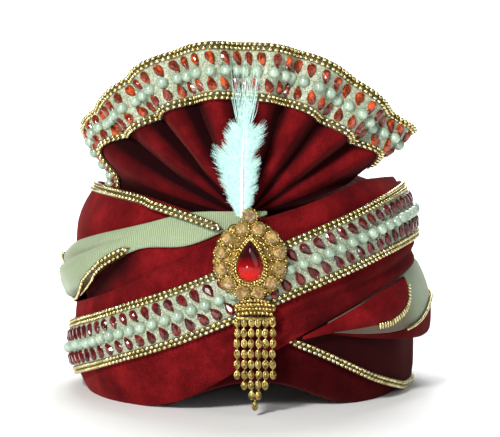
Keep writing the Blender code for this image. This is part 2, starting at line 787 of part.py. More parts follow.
def lace_face(height):
    """Depth of the lace's outer face at the middle of the front."""
    lift = CLOTH / 2 + LAYER_GAP * 1.5 + LACE_THICKNESS
    return on_body(0, height, rising_lift(0, height) + lift).y


def plate_back():
    """The brooch stands clear of the lace by its pin's thickness."""
    heights = [BROOCH_HEIGHT + STONE_RING_HALF_HEIGHT * share for share in (-1.2, -0.8, -0.4, 0, 0.4)]
    return min(lace_face(height) for height in heights) - PIN_CLEARANCE


def lofted(name, outline, sections, material, flat=True):
    """A closed solid through scaled copies of one outline, each with its share and its height."""
    made = bmesh.new()
    rings = []
    for section in sections:
        ring = [made.verts.new((x, y, section["height"])) for x, y in outline(section["grow"])]
        rings.append(ring)
    for low, high in zip(rings, rings[1:]):
        for k in range(len(low)):
            after = (k + 1) % len(low)
            made.faces.new((low[k], low[after], high[after], high[k]))
    made.faces.new(rings[0][::-1])
    made.faces.new(rings[-1])
    bmesh.ops.recalc_face_normals(made, faces=made.faces)
    mesh = bpy.data.meshes.new(name)
    made.to_mesh(mesh)
    made.free()
    if not flat:
        mesh.shade_smooth()
    return mesh_object(name, mesh, material)


def oval_outline(half_width, half_height, sides):
    def outline(grow):
        turns = [2 * math.pi * k / sides for k in range(sides)]
        return [((half_width + grow) * math.sin(t), (half_height + grow) * math.cos(t)) for t in turns]

    return outline


def drop_outline(half_width, length, sides):
    """A pear shape, point up."""

    def outline(grow):
        turns = [2 * math.pi * (k + 0.5) / sides for k in range(sides)]
        wide, tall = half_width + grow, length / 2 + grow
        return [(wide * 1.12 * math.sin(t) * abs(math.sin(t / 2)) ** 0.9, tall * math.cos(t)) for t in turns]

    return outline


def cut_stone(name, outline, radius, height, material, frame):
    """A stone with a girdle, sloping crown facets and a table."""
    sections = [
        {"grow": -radius * 0.45, "height": -height * 0.2},
        {"grow": 0, "height": 0},
        {"grow": 0, "height": height * 0.15},
        {"grow": -radius * 0.22, "height": height * 0.70},
        {"grow": -radius * 0.50, "height": height},
    ]
    obj = lofted(name, outline, sections, material)
    obj.matrix_world = frame
    return obj


def tool(obj):
    """Moves a piece that is fused into another out of the model's collection."""
    bpy.data.collections["turban"].objects.unlink(obj)
    bpy.data.collections["tools"].objects.link(obj)
    obj.hide_render = True
    obj.display_type = "WIRE"
    return obj


def fuse(target, pieces):
    for piece in pieces:
        joined = target.modifiers.new(piece.name, "BOOLEAN")
        joined.operation = "UNION"
        joined.solver = "EXACT"
        joined.object = tool(piece)


def ring_places():
    """Middles of the stones round the brooch, evenly spaced along the oval."""
    fine = 720
    path = [
        (STONE_RING_HALF_WIDTH * math.sin(2 * math.pi * k / fine), STONE_RING_HALF_HEIGHT * math.cos(2 * math.pi * k / fine))
        for k in range(fine + 1)
    ]
    lengths = [0.0]
    for (x0, y0), (x1, y1) in zip(path, path[1:]):
        lengths.append(lengths[-1] + math.hypot(x1 - x0, y1 - y0))
    places = []
    for k in range(RING_STONES):
        wanted = (k + 0.5) / RING_STONES * lengths[-1]
        nearest = min(range(fine), key=lambda i: abs(lengths[i] - wanted))
        places.append(path[nearest])
    return places


def cup(name, radius, frame):
    """A stone's cup: a stepped disc with a seat hollowed in its face."""
    stone = radius - CUP_WALL
    sections = [
        {"grow": 0, "height": 0},
        {"grow": 0, "height": CUP_HEIGHT * 0.7},
        {"grow": -CUP_WALL * 0.5, "height": CUP_HEIGHT},
        {"grow": -CUP_WALL, "height": CUP_HEIGHT},
        {"grow": -CUP_WALL - stone * 0.35, "height": CUP_HEIGHT * 0.35},
    ]
    obj = lofted(name, oval_outline(radius, radius, ROUND_SIDES), sections, "gold")
    obj.matrix_world = frame
    return obj


def make_brooch():
    x, z, back = BROOCH_SIDE_OFFSET, BROOCH_HEIGHT, plate_back()
    face = back - PLATE_THICKNESS
    outer_wide = STONE_RING_HALF_WIDTH + CUP_RADIUS * 0.6
    outer_tall = STONE_RING_HALF_HEIGHT + CUP_RADIUS * 0.6
    setting = lofted(
        "brooch_setting", oval_outline(outer_wide, outer_tall, 32),
        [{"grow": 0, "height": 0}, {"grow": 0, "height": PLATE_THICKNESS}], "gold",
    )
    setting.matrix_world = brooch_frame(x, z, back)
    sink = PLATE_THICKNESS * 0.5
    pieces = []
    stone_seat = CUP_HEIGHT + SEAT_GAP
    for k, (side, up) in enumerate(ring_places(), 1):
        pieces.append(cup(f"ring_cup_{k:02d}", CUP_RADIUS, brooch_frame(x + side, z + up, face + sink)))
        frame = brooch_frame(x + side, z + up, face + sink - stone_seat)
        outline = oval_outline(RING_STONE_RADIUS, RING_STONE_RADIUS, ROUND_SIDES)
        cut_stone(f"ring_stone_{k:02d}", outline, RING_STONE_RADIUS, RING_STONE_HEIGHT, "pale_stone", frame)
    bezel_sections = [
        {"grow": BEZEL_WALL * 1.3, "height": 0},
        {"grow": BEZEL_WALL, "height": BEZEL_HEIGHT * 0.7},
        {"grow": BEZEL_WALL * 0.6, "height": BEZEL_HEIGHT},
        {"grow": SEAT_GAP, "height": BEZEL_HEIGHT},
        {"grow": -CENTRE_STONE_HALF_WIDTH * 0.4, "height": BEZEL_HEIGHT * 0.4},
    ]
    drop = drop_outline(CENTRE_STONE_HALF_WIDTH, CENTRE_STONE_LENGTH, 20)
    bezel = lofted("centre_bezel", drop, bezel_sections, "gold")
    bezel.matrix_world = brooch_frame(x, z, face + sink)
    pieces.append(bezel)
    seat = BEZEL_HEIGHT + SEAT_GAP
    cut_stone(
        "centre_stone", drop, CENTRE_STONE_HALF_WIDTH, CENTRE_STONE_HEIGHT, "red_stone",
        brooch_frame(x, z, face + sink - seat),
    )
    top = top_cup_height()
    pieces.append(cup("top_cup", TOP_CUP_RADIUS, brooch_frame(x, top, back)))
    top_stone = TOP_CUP_RADIUS - CUP_WALL
    cut_stone(
        "top_stone", oval_outline(top_stone, top_stone, ROUND_SIDES), top_stone, RING_STONE_HEIGHT, "pale_stone",
        brooch_frame(x, top, back - stone_seat),
    )
    head = lofted(
        "tassel_head", oval_outline(TASSEL_HEAD_WIDTH / 2, TASSEL_HEAD_HEIGHT / 2, 8),
        [{"grow": 0, "height": 0}, {"grow": 0, "height": TASSEL_HEAD_THICKNESS * 0.7},
         {"grow": -TASSEL_HEAD_THICKNESS * 0.4, "height": TASSEL_HEAD_THICKNESS}], "gold",
    )
    head.matrix_world = brooch_frame(x + TASSEL_SIDE_OFFSET, tassel_head_height(), back)
    pieces.append(head)
    fuse(setting, pieces)
    pin_height = z - STONE_RING_HALF_HEIGHT * 0.5
    pin_foot = lace_face(pin_height) - SEAT_GAP
    pin = lofted(
        "brooch_pin", oval_outline(BROOCH_PIN_LENGTH / 2, PIN_HALF_HEIGHT, 8),
        [{"grow": 0, "height": 0}, {"grow": 0, "height": pin_foot - back - SEAT_GAP}], "gold",
    )
    pin.matrix_world = brooch_frame(x, pin_height, pin_foot)


def top_cup_height():
    return BROOCH_HEIGHT + STONE_RING_HALF_HEIGHT + CUP_RADIUS + TOP_CUP_RADIUS * 0.5


def tassel_head_height():
    return BROOCH_HEIGHT - STONE_RING_HALF_HEIGHT - CUP_RADIUS - TASSEL_HEAD_HEIGHT * 0.35


def strand_beads(k):
    """The middle strands hang lower than the outer ones."""
    return SHORTEST_STRAND_BEADS + round(1.3 * min(k, STRANDS - 1 - k))


def make_tassel():
    x = BROOCH_SIDE_OFFSET + TASSEL_SIDE_OFFSET
    depth = plate_back() - TASSEL_HEAD_THICKNESS / 2
    bar_top = tassel_head_height() - TASSEL_HEAD_HEIGHT / 2 - SEAT_GAP
    wide = STRAND_PITCH * (STRANDS - 1) / 2 + STRAND_BEAD_RADIUS
    tassel = lofted(
        "tassel", oval_outline(wide, TASSEL_HEAD_THICKNESS / 2, 12),
        [{"grow": 0, "height": 0}, {"grow": 0, "height": TASSEL_BAR_HEIGHT}], "gold",
    )
    tassel.matrix_world = Matrix.Translation(Vector((x, depth, bar_top - TASSEL_BAR_HEIGHT)))
    strands = []
    for k in range(STRANDS):
        sections = [{"grow": 0, "height": TASSEL_BAR_HEIGHT * 0.5}]
        for bead in range(strand_beads(k)):
            top = -bead * STRAND_BEAD_PITCH
            sections.append({"grow": STRAND_BEAD_RADIUS - STRAND_NECK_RADIUS, "height": top - STRAND_BEAD_PITCH / 2})
            sections.append({"grow": 0, "height": top - STRAND_BEAD_PITCH})
        outline = oval_outline(STRAND_NECK_RADIUS, STRAND_NECK_RADIUS, 6)
        strand = lofted(f"strand_{k + 1}", outline, sections, "gold")
        side = x + (k - (STRANDS - 1) / 2) * STRAND_PITCH
        strand.matrix_world = Matrix.Translation(Vector((side, depth, bar_top - TASSEL_BAR_HEIGHT)))
        strands.append(strand)
    fuse(tassel, strands)


def make_feather():
    """A flat plume: locks along both sides of a raised quill."""
    rows, columns = FEATHER_LOCKS * 2, 6
    foot_depth = plate_back() + SEAT_GAP + FEATHER_THICKNESS / 2 + QUILL_RADIUS
    depth = FAN_DEPTH + FEATHER_FRONT_OF_FAN
    lean = -depth - foot_depth
    foot = top_cup_height() - FEATHER_TUCK

    def place(u, v):
        side = 2 * u - 1
        shape = "left" if side < 0 else "right"
        half = FEATHER_HALF_WIDTH * curve(FEATHER_SHAPE, "along", v, shape)
        tip = 1.0 if round(v * rows) % 2 else FEATHER_NOTCH
        reach = abs(side) ** 0.9 * blend(1.0, tip, abs(side))
        rise = FEATHER_LOCK_RISE * abs(side) * math.sin(math.pi * v)
        ridge = QUILL_RADIUS * max(0.0, 1 - abs(side) * 3)
        sway = FEATHER_SWAY * (v - 0.3) * v
        back = lean * (1 - v) ** 2
        return Vector((
            FEATHER_SIDE_OFFSET + sway + math.copysign(half * reach, side),
            -depth - back - ridge,
            foot + v * (FEATHER_LENGTH - FEATHER_LOCK_RISE) + rise,
        ))

    sheet("feather", columns, rows, place, FEATHER_THICKNESS, "feather")


def centre_on_floor():
    """Moves the whole model so that the middle of its box stands on the origin."""
    bpy.context.view_layer.update()
    depsgraph = bpy.context.evaluated_depsgraph_get()
    corners = []
    for obj in bpy.data.collections["turban"].objects:
        evaluated = obj.evaluated_get(depsgraph)
        corners += [evaluated.matrix_world @ Vector(corner) for corner in evaluated.bound_box]
    low = [min(corner[k] for corner in corners) for k in range(3)]
    high = [max(corner[k] for corner in corners) for k in range(3)]
    middle = bpy.data.objects.new("turban_middle", None)
    bpy.data.collections["turban"].objects.link(middle)
    pieces = [obj for obj in bpy.data.objects if obj is not middle]
    for obj in pieces:
        obj.parent = middle
    middle.location = (-(low[0] + high[0]) / 2, -(low[1] + high[1]) / 2, -low[2])


def reset_scene():
    for obj in list(bpy.data.objects):
        bpy.data.objects.remove(obj)
    for name in ("turban", "tools"):
        bpy.context.scene.collection.children.link(bpy.data.collections.new(name))


def main():
    reset_scene()
    make_cap()
    make_padding()
    make_crown_cloth()
    make_wraps()
    make_sashes()
    make_trims()
    make_fan()
    make_brooch()
    make_tassel()
    make_feather()
    centre_on_floor()


main()
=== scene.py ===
"""The looks of a ready-tied wedding turban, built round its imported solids.

Metres, +Z up, the front faces -Y. Angles go round the body from the front, positive towards +X.
"""

import math
import random

import bmesh
import bpy
from mathutils import Matrix, Vector, noise


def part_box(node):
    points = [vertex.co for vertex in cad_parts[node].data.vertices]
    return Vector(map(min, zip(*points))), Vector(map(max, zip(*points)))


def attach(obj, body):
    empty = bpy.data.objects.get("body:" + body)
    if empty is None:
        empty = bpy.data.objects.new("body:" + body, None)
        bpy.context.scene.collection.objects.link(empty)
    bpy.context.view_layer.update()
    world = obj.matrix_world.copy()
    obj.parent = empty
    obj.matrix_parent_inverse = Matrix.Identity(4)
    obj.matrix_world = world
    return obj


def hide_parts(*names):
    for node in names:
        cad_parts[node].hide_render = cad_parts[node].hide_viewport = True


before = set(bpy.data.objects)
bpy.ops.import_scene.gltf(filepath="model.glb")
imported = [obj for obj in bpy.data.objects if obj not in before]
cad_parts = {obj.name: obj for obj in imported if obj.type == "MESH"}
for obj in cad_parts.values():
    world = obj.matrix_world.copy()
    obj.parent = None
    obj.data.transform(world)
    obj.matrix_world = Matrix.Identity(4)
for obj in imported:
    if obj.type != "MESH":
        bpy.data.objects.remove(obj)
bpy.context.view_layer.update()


def named_rows(columns, *values):
    """A short table: a named value for each column of each row."""
    return [dict(zip(columns.split(), row)) for row in values]


# Sizes of the body, as in the part's source
BODY_HALF_WIDTH = 0.110
BODY_HALF_DEPTH = 0.1165
BODY_HEIGHT = 0.150
SHOULDER_INSET = 0.015
RIM_ROUND = 0.006
ARCH_HEIGHT = 0.021
ARCH_MIDDLE = 4.0
ARCH_HALF_ANGLE = 48.0
CAP_CROWN = 0.004
CAP_SQUARENESS = 3.4
CROWN_RISE = 0.003
CROWN_FULLNESS = 3.0
CROWN_FRONT_SHARE = 0.86
CROWN_BACK_SHARE = 0.98
CLOTH = 0.0024
SASH_CLOTH = 0.0016
LAYER_GAP = 0.0006
WRAP_PUFF = 0.002
SHOULDER_PUFF = 0.0045
HEM_TUCK = 0.0045
LEFT_CROSSING = 96.0
RIGHT_CROSSING = 76.0
CROSSING_TURN = 28.0
LACE_WIDTH = 0.037
LACE_THICKNESS = 0.0018
TRIM_WIDTH = 0.0055
LOOP_REACH = 0.0085
FLAP_BULGE = 0.25
FAN_RADIUS = 0.111
FAN_THICKNESS = 0.0015
FAN_DEPTH = 0.1045
FAN_ROOT = 0.003
FAN_SEAT = 0.0005
PLEAT_DEPTH = 0.0055

BODY_PROFILE = named_rows(
    "height inset",
    (0.00, 0.28), (0.05, 0.08), (0.17, 0.00), (0.60, 0.00), (0.73, 0.10), (0.83, 0.27),
    (0.92, 0.55), (1.00, 1.00),
)
PADDING_TOP = named_rows(
    "angle top",
    (-180, 0.80), (-135, 0.86), (-90, 0.925), (-45, 0.878), (0, 0.828), (45, 0.878), (90, 0.925),
    (135, 0.86),
)
RISING_WRAP = named_rows(
    "angle low lace high",
    (-180, 0.267, 0.48, 0.693), (-160, 0.173, 0.39, 0.633), (-135, 0.080, 0.29, 0.560),
    (-110, 0.020, 0.215, 0.467), (-90, 0.014, 0.195, 0.413), (-60, 0.014, 0.265, 0.467),
    (-40, 0.014, 0.34, 0.547), (-20, 0.067, 0.43, 0.673), (0, 0.213, 0.545, 0.807),
    (20, 0.353, 0.66, 0.887), (45, 0.493, 0.77, 0.980), (60, 0.547, 0.815, 0.993),
    (75, 0.587, 0.84, 0.993), (90, 0.600, 0.845, 0.987), (110, 0.587, 0.80, 0.967),
    (135, 0.507, 0.705, 0.880), (160, 0.373, 0.59, 0.780),
)
FALLING_WRAP = named_rows(
    "angle low high",
    (-180, 0.293, 0.720), (-160, 0.413, 0.813), (-135, 0.560, 0.893), (-110, 0.630, 0.947),
    (-90, 0.580, 0.967), (-75, 0.480, 0.963), (-60, 0.420, 0.953), (-40, 0.440, 0.927),
    (-20, 0.430, 0.867), (0, 0.370, 0.780), (20, 0.273, 0.693), (45, 0.127, 0.560),
    (60, 0.067, 0.460), (75, 0.027, 0.360), (90, 0.018, 0.293), (110, 0.027, 0.333),
    (135, 0.093, 0.467), (160, 0.200, 0.613),
)
LEFT_SASH = named_rows(
    "angle low high edge middle",
    (-157.5, 0.400, 0.420, 0.10, 0.15), (-135, 0.367, 0.555, 0.20, 0.45),
    (-110, 0.385, 0.643, 0.60, 1.15), (-90, 0.430, 0.669, 0.75, 1.40),
    (-78, 0.455, 0.684, 0.70, 1.10), (-65, 0.497, 0.720, 0.75, 0.90),
    (-53, 0.576, 0.751, 0.60, 0.62), (-45, 0.640, 0.772, 0.40, 0.38),
    (-34, 0.705, 0.805, 0.05, 0.06), (-18, 0.723, 0.857, 0.00, 0.00),
    (0, 0.822, 0.863, 0.00, 0.00), (7.5, 0.852, 0.864, 0.00, 0.00),
)
RIGHT_SASH = named_rows(
    "angle low meet edge middle",
    (27, 0.344, 0.350, 0.00, 0.02), (45, 0.308, 0.326, 0.15, 0.25), (60, 0.286, 0.328, 0.55, 0.58),
    (75, 0.272, 0.372, 1.05, 0.80), (90, 0.280, 0.425, 1.15, 0.82),
    (112.5, 0.340, 0.462, 0.70, 0.70), (135, 0.478, 0.487, 0.10, 0.20),
)
FLAP_EDGE = named_rows(
    "angle low",
    (18, 0.330), (27, 0.350), (44, 0.366), (51, 0.378), (56, 0.408), (60.5, 0.458), (63.5, 0.535),
)
FAN_OUTLINE = named_rows(
    "angle reach",
    (-83, 1.20), (-80, 1.27), (-75, 1.36), (-71, 1.395), (-67, 1.37), (-58, 1.22), (-50, 1.13),
    (-31, 1.063), (-14, 1.027), (1, 1.00), (18, 1.009), (34.5, 1.025), (50, 1.068), (60, 1.15),
    (66.8, 1.25), (75, 1.27),
)
FAN_LEFT_ANGLE = -83.0
FAN_RIGHT_ANGLE = 75.0
FAN_CUT_ANGLE = 66.8
PLEAT_RIDGES = [-88, -69, -50, -34.5, -13, 9, 28.5, 49, 65, 82]
FAN_BEND = {"left": (0.090, 0.60), "right": (0.088, 1.65)}
FAN_FULLNESS = 1.15

# Middle of the head hollow, which the part's source puts at its own origin
BAND_LOW, BAND_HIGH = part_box("head_band")
MIDDLE = Vector(((BAND_LOW[0] + BAND_HIGH[0]) / 2, (BAND_LOW[1] + BAND_HIGH[1]) / 2, 0))
CAP_HALF_WIDTH = (BAND_HIGH[0] - BAND_LOW[0]) / 2
CAP_HALF_DEPTH = (BAND_HIGH[1] - BAND_LOW[1]) / 2

# Brooch, tassel and feather, as in the part's source
BROOCH_SIDE_OFFSET = 0.0035
BROOCH_HEIGHT = 0.100
RING_HALF_WIDTH = 0.0184
RING_HALF_HEIGHT = 0.0204
RING_STONES = 12
CUP_RADIUS = 0.0047
TOP_CUP_RADIUS = 0.0046
CENTRE_HALF_WIDTH = 0.009
CENTRE_LENGTH = 0.025
CENTRE_HEIGHT = 0.006
STRANDS = 6
STRAND_PITCH = 0.0044
STRAND_BEAD_PITCH = 0.0065
STRAND_TIP = 8
SHORTEST_STRAND_BEADS = 6
TASSEL_SIDE_OFFSET = 0.003
TASSEL_HEAD_WIDTH = 0.026
TASSEL_HEAD_HEIGHT = 0.011
TASSEL_HEAD_THICKNESS = 0.003
FEATHER_HALF_WIDTH = 0.020
FEATHER_FRONT_OF_FAN = 0.0135
FEATHER_SIDE_OFFSET = -0.0015
FEATHER_SWAY = 0.007
FEATHER_LOCK_RISE = 0.009

# Folds and unevenness of the cloth
LACE_CREASE = 0.0016
LACE_CREASE_TIGHTNESS = 480
RISING_UNEVEN = 0.0011
FALLING_UNEVEN = 0.0009
CROWN_GATHERS = 34
CROWN_GATHER_DEPTH = 0.0019
CROWN_UNEVEN = 0.0008
CROWN_CLOTH = 0.0016
FAN_UNEVEN = 0.0008
LEFT_CURL = math.radians(150)
LEFT_ROLL = 0.0040
LEFT_ROLL_LEAST = 0.0004
LEFT_CREASE = 0.0030
LEFT_FOLD_SHARE = 0.42
NET_CLOTH = 0.0007
TAPE_CLOTH = 0.0006

# Beads and stones
GOLD_BEAD = 0.00138
GOLD_BEAD_STRETCH = 1.13
GOLD_SLANT = 14.0
SMALL_BEAD_SHARE = 0.72
ROD_HALF_LENGTH = 0.0025
ROD_PITCH = 0.0025
TRIM_END = 3.2
GOLD_PITCH = 0.0037
PEARL = 0.0037
STONE_PITCH = 0.0095
DROP_HALF_WIDTH = 0.0035
DROP_LENGTH = 0.0097
SPECK = 0.00085
BORDER_WIDTH = 0.0054


def smooth(x):
    x = min(1.0, max(0.0, x))
    return x * x * (3 - 2 * x)


def blend(a, b, share):
    return a + (b - a) * share


def curve(table, along, at, column, period=None):
    """A smooth curve through one column of a table, closed round if it has a period."""
    xs = [row[along] for row in table]
    ys = [row[column] for row in table]
    if period:
        at = (at - xs[0]) % period + xs[0]
        xs = [xs[-1] - period] + xs + [xs[0] + period, xs[1] + period]
        ys = [ys[-1]] + ys + [ys[0], ys[1]]
    else:
        at = min(max(at, xs[0]), xs[-1])
        xs = [2 * xs[0] - xs[1]] + xs + [2 * xs[-1] - xs[-2]]
        ys = [2 * ys[0] - ys[1]] + ys + [2 * ys[-1] - ys[-2]]
    i = max(k for k in range(1, len(xs) - 2) if xs[k] <= at or k == 1)
    width = xs[i + 1] - xs[i]
    t = (at - xs[i]) / width
    slope_a = (ys[i + 1] - ys[i - 1]) / (xs[i + 1] - xs[i - 1]) * width
    slope_b = (ys[i + 2] - ys[i]) / (xs[i + 2] - xs[i]) * width
    return (
        (2 * t**3 - 3 * t**2 + 1) * ys[i]
        + (t**3 - 2 * t**2 + t) * slope_a
        + (3 * t**2 - 2 * t**3) * ys[i + 1]
        + (t**3 - t**2) * slope_b
    )


def on_body_share(table, angle, column, closed=True):
    return curve(table, "angle", angle, column, 360 if closed else None) * BODY_HEIGHT


def turned(angle):
    """The same angle between -180 and 180."""
    return (angle + 180) % 360 - 180


def oval(angle, half_width, half_depth, height):
    a = math.radians(angle)
    return MIDDLE + Vector((half_width * math.sin(a), -half_depth * math.cos(a), height))


def body_inset(height):
    return SHOULDER_INSET * curve(BODY_PROFILE, "height", height / BODY_HEIGHT, "inset")


def body_slope(height):
    step = BODY_HEIGHT * 0.02
    return max(0.0, (body_inset(height + step) - body_inset(height - step)) / (2 * step))


def on_body(angle, height, lift):
    """A point at that lift from the body's outer surface, at its own height."""
    out = lift * math.hypot(1, body_slope(height)) - body_inset(height)
    return oval(angle, BODY_HALF_WIDTH + out, BODY_HALF_DEPTH + out, height)


def arch(angle):
    share = abs(turned(angle - ARCH_MIDDLE)) / ARCH_HALF_ANGLE
    return ARCH_HEIGHT * math.cos(min(1.0, share) * math.pi / 2) ** 2


def front_share(angle):
    crossing = RIGHT_CROSSING if turned(angle) > 0 else LEFT_CROSSING
    return 1 - smooth((abs(turned(angle)) - crossing) / CROSSING_TURN)


def puffed(share, power=1.0):
    return math.sin(math.pi * min(1.0, max(0.0, share))) ** power


def ripple(angle, height, along, across, seed):
    """Smooth irregular waves on the body, between about -1 and 1, seamless all round."""
    a = math.radians(angle)
    return noise.noise(Vector((math.sin(a) * along, math.cos(a) * along, height * across + seed)))


FALLING_TOP = CLOTH + LAYER_GAP + WRAP_PUFF * 0.5
RISING_TOP = CLOTH + LAYER_GAP + WRAP_PUFF
LACE_TOP = LACE_THICKNESS + LAYER_GAP


def rising_share(angle, height):
    low, high = (on_body_share(RISING_WRAP, angle, column) for column in ("low", "high"))
    return (height - low) / (high - low)


def rising_lift(angle, height):
    """Middle of the rising wrap's cloth above the body, with its soft lengthwise folds."""
    share = rising_share(angle, height)
    turn = turned(angle)
    over = FALLING_TOP * front_share(angle)
    tuck = min(HEM_TUCK, over) * smooth((-turn - 8) / 20) * (1 - smooth(share / 0.45))
    lace = on_body_share(RISING_WRAP, angle, "lace")
    bare = smooth((abs(height - lace) - LACE_WIDTH * 0.42) / (LACE_WIDTH * 0.25))
    below = smooth((lace - height) / LACE_WIDTH)
    pulled = below * smooth((turn + 25) / 40) * (1 - smooth((turn - 95) / 40))
    wander = 0.9 * math.sin(math.radians(turn) * 3.1)
    crease = LACE_CREASE * math.sin((height - lace) * LACE_CREASE_TIGHTNESS + wander) * pulled
    soft = RISING_UNEVEN * ripple(angle, height, 3.2, 60, 4.0) * bare
    return LAYER_GAP + CLOTH / 2 + over - tuck + WRAP_PUFF * puffed(share) + crease * bare + soft


def falling_swell(angle):
    turn = turned(angle)
    return SHOULDER_PUFF * smooth((turn + 150) / 40) * (1 - smooth((turn + 50) / 35))


def falling_lift(angle, height):
    """Middle of the falling wrap's cloth above the body; it swells only where no wrap lies on it."""
    low, high = (on_body_share(FALLING_WRAP, angle, column) for column in ("low", "high"))
    covered = blend(low, on_body_share(RISING_WRAP, angle, "high"), front_share(angle))
    bare = min(max(low, covered), high - CLOTH)
    over = (RISING_TOP + LACE_TOP + LAYER_GAP) * (1 - front_share(angle))
    full = puffed((height - low) / (high - low))
    flat = WRAP_PUFF * 0.5 * full
    soft = FALLING_UNEVEN * ripple(angle, height, 3.6, 55, 19.0) * full
    swell = falling_swell(angle) * puffed((height - bare) / (high - bare))
    return LAYER_GAP + CLOTH / 2 + over + flat + swell + soft


# Materials


def node_material(name):
    material = bpy.data.materials.new(name)
    material.use_nodes = True
    tree = material.node_tree
    return material, tree, tree.nodes["Principled BSDF"]


def settle(node, values):
    """Sets a node's inputs by name."""
    for name, value in values.items():
        node.inputs[name].default_value = value


def noise_node(tree, scale, detail, source, roughness=0.55):
    texture = tree.nodes.new("ShaderNodeTexNoise")
    settle(texture, {"Scale": scale, "Detail": detail, "Roughness": roughness})
    tree.links.new(source, texture.inputs["Vector"])
    return texture.outputs["Fac"]


def ramp_node(tree, factor, stops):
    """A colour ramp with one stop for each (position, colour)."""
    ramp = tree.nodes.new("ShaderNodeValToRGB")
    elements = ramp.color_ramp.elements
    while len(elements) < len(stops):
        elements.new(0.5)
    for element, (position, colour) in zip(elements, stops):
        element.position = position
        element.color = (*colour, 1)
    tree.links.new(factor, ramp.inputs["Fac"])
    return ramp.outputs["Color"]


def mix_node(tree, factor, first, second, mode="MIX"):
    mix = tree.nodes.new("ShaderNodeMix")
    mix.data_type = "RGBA"
    mix.blend_type = mode
    if isinstance(factor, float):
        mix.inputs["Factor"].default_value = factor
    else:
        tree.links.new(factor, mix.inputs["Factor"])
    tree.links.new(first, mix.inputs["A"])
    tree.links.new(second, mix.inputs["B"])
    return mix.outputs["Result"]


def range_node(tree, value, low, high, start=0.0, end=1.0):
    spread = tree.nodes.new("ShaderNodeMapRange")
    settle(spread, {"From Min": start, "From Max": end, "To Min": low, "To Max": high})
    tree.links.new(value, spread.inputs["Value"])
    return spread.outputs["Result"]


def bump_node(tree, shader, height, strength, distance):
    bump = tree.nodes.new("ShaderNodeBump")
    settle(bump, {"Strength": strength, "Distance": distance})
    tree.links.new(height, bump.inputs["Height"])
    tree.links.new(bump.outputs["Normal"], shader.inputs["Normal"])


def object_coordinates(tree):
    return tree.nodes.new("ShaderNodeTexCoord").outputs["Object"]


def mix_painted_shade(tree, colour, deep):
    """Painted shade: darkens a colour towards a deep shade colour as far as the mesh's own "shade" says."""
    shade = tree.nodes.new("ShaderNodeAttribute")
    shade.attribute_name = "shade"
    depth = tree.nodes.new("ShaderNodeRGB")
    depth.outputs[0].default_value = (*deep, 1)
    return mix_node(tree, shade.outputs["Fac"], colour, depth.outputs[0])


def velvet(name, dark, middle, light):
    """Pile cloth: crushed patches, a fine speckle of pile tips and a soft sheen."""
    material, tree, shader = node_material(name)
    place = object_coordinates(tree)
    crushed = noise_node(tree, 42, 5, place, 0.66)
    pile = noise_node(tree, 1300, 2, place, 0.75)
    patches = ramp_node(tree, crushed, [(0.30, dark), (0.50, middle), (0.72, light)])
    tips = ramp_node(tree, pile, [(0.34, dark), (0.54, middle), (0.76, light)])
    pile_colour = mix_node(tree, 0.42, patches, tips)
    # Painted shade: the pile colour darkens towards a deeper maroon wherever the mesh's "shade" says.
    folded = mix_painted_shade(tree, pile_colour, blend_colour(dark, (0.0, 0.0014, 0.0018), 0.72))
    tree.links.new(folded, shader.inputs["Base Color"])
    settle(shader, {"Roughness": 0.92, "Specular IOR Level": 0.03})
    settle(shader, {"Sheen Weight": 0.13, "Sheen Roughness": 0.45, "Sheen Tint": (1.0, 0.16, 0.15, 1)})
    bump_node(tree, shader, pile, 0.35, 0.0006)
    return material


def ribbed_net(name, light, dark, pitch):
    """Ribbed net ribbon: fine ribs across its length and a faint weave."""
    material, tree, shader = node_material(name)
    uv = tree.nodes.new("ShaderNodeTexCoord").outputs["UV"]
    ribs = tree.nodes.new("ShaderNodeTexWave")
    ribs.bands_direction = "X"
    settle(ribs, {"Scale": math.pi / (10 * pitch), "Distortion": 0.6, "Detail": 1, "Detail Scale": 2})
    tree.links.new(uv, ribs.inputs["Vector"])
    weave = noise_node(tree, 900, 2, object_coordinates(tree), 0.6)
    stain = noise_node(tree, 30, 3, object_coordinates(tree), 0.5)
    base = ramp_node(tree, ribs.outputs["Fac"], [(0.15, dark), (0.6, light)])
    tint = ramp_node(tree, stain, [(0.35, (0.86, 0.90, 0.80)), (0.65, (1.0, 1.0, 1.0))])
    speck = ramp_node(tree, weave, [(0.3, (0.86, 0.88, 0.84)), (0.6, (1.0, 1.0, 1.0))])
    toned = mix_node(tree, 1.0, base, tint, "MULTIPLY")
    woven = mix_node(tree, 1.0, toned, speck, "MULTIPLY")
    # Painted shade: the net darkens towards a brownish dark wherever the mesh's "shade" says.
    tree.links.new(mix_painted_shade(tree, woven, (0.10, 0.055, 0.03)), shader.inputs["Base Color"])
    settle(shader, {"Roughness": 0.62, "Sheen Weight": 0.25, "Sheen Tint": (0.95, 1.0, 0.92, 1)})
    bump_node(tree, shader, ribs.outputs["Fac"], 0.4, 0.0004)
    return material


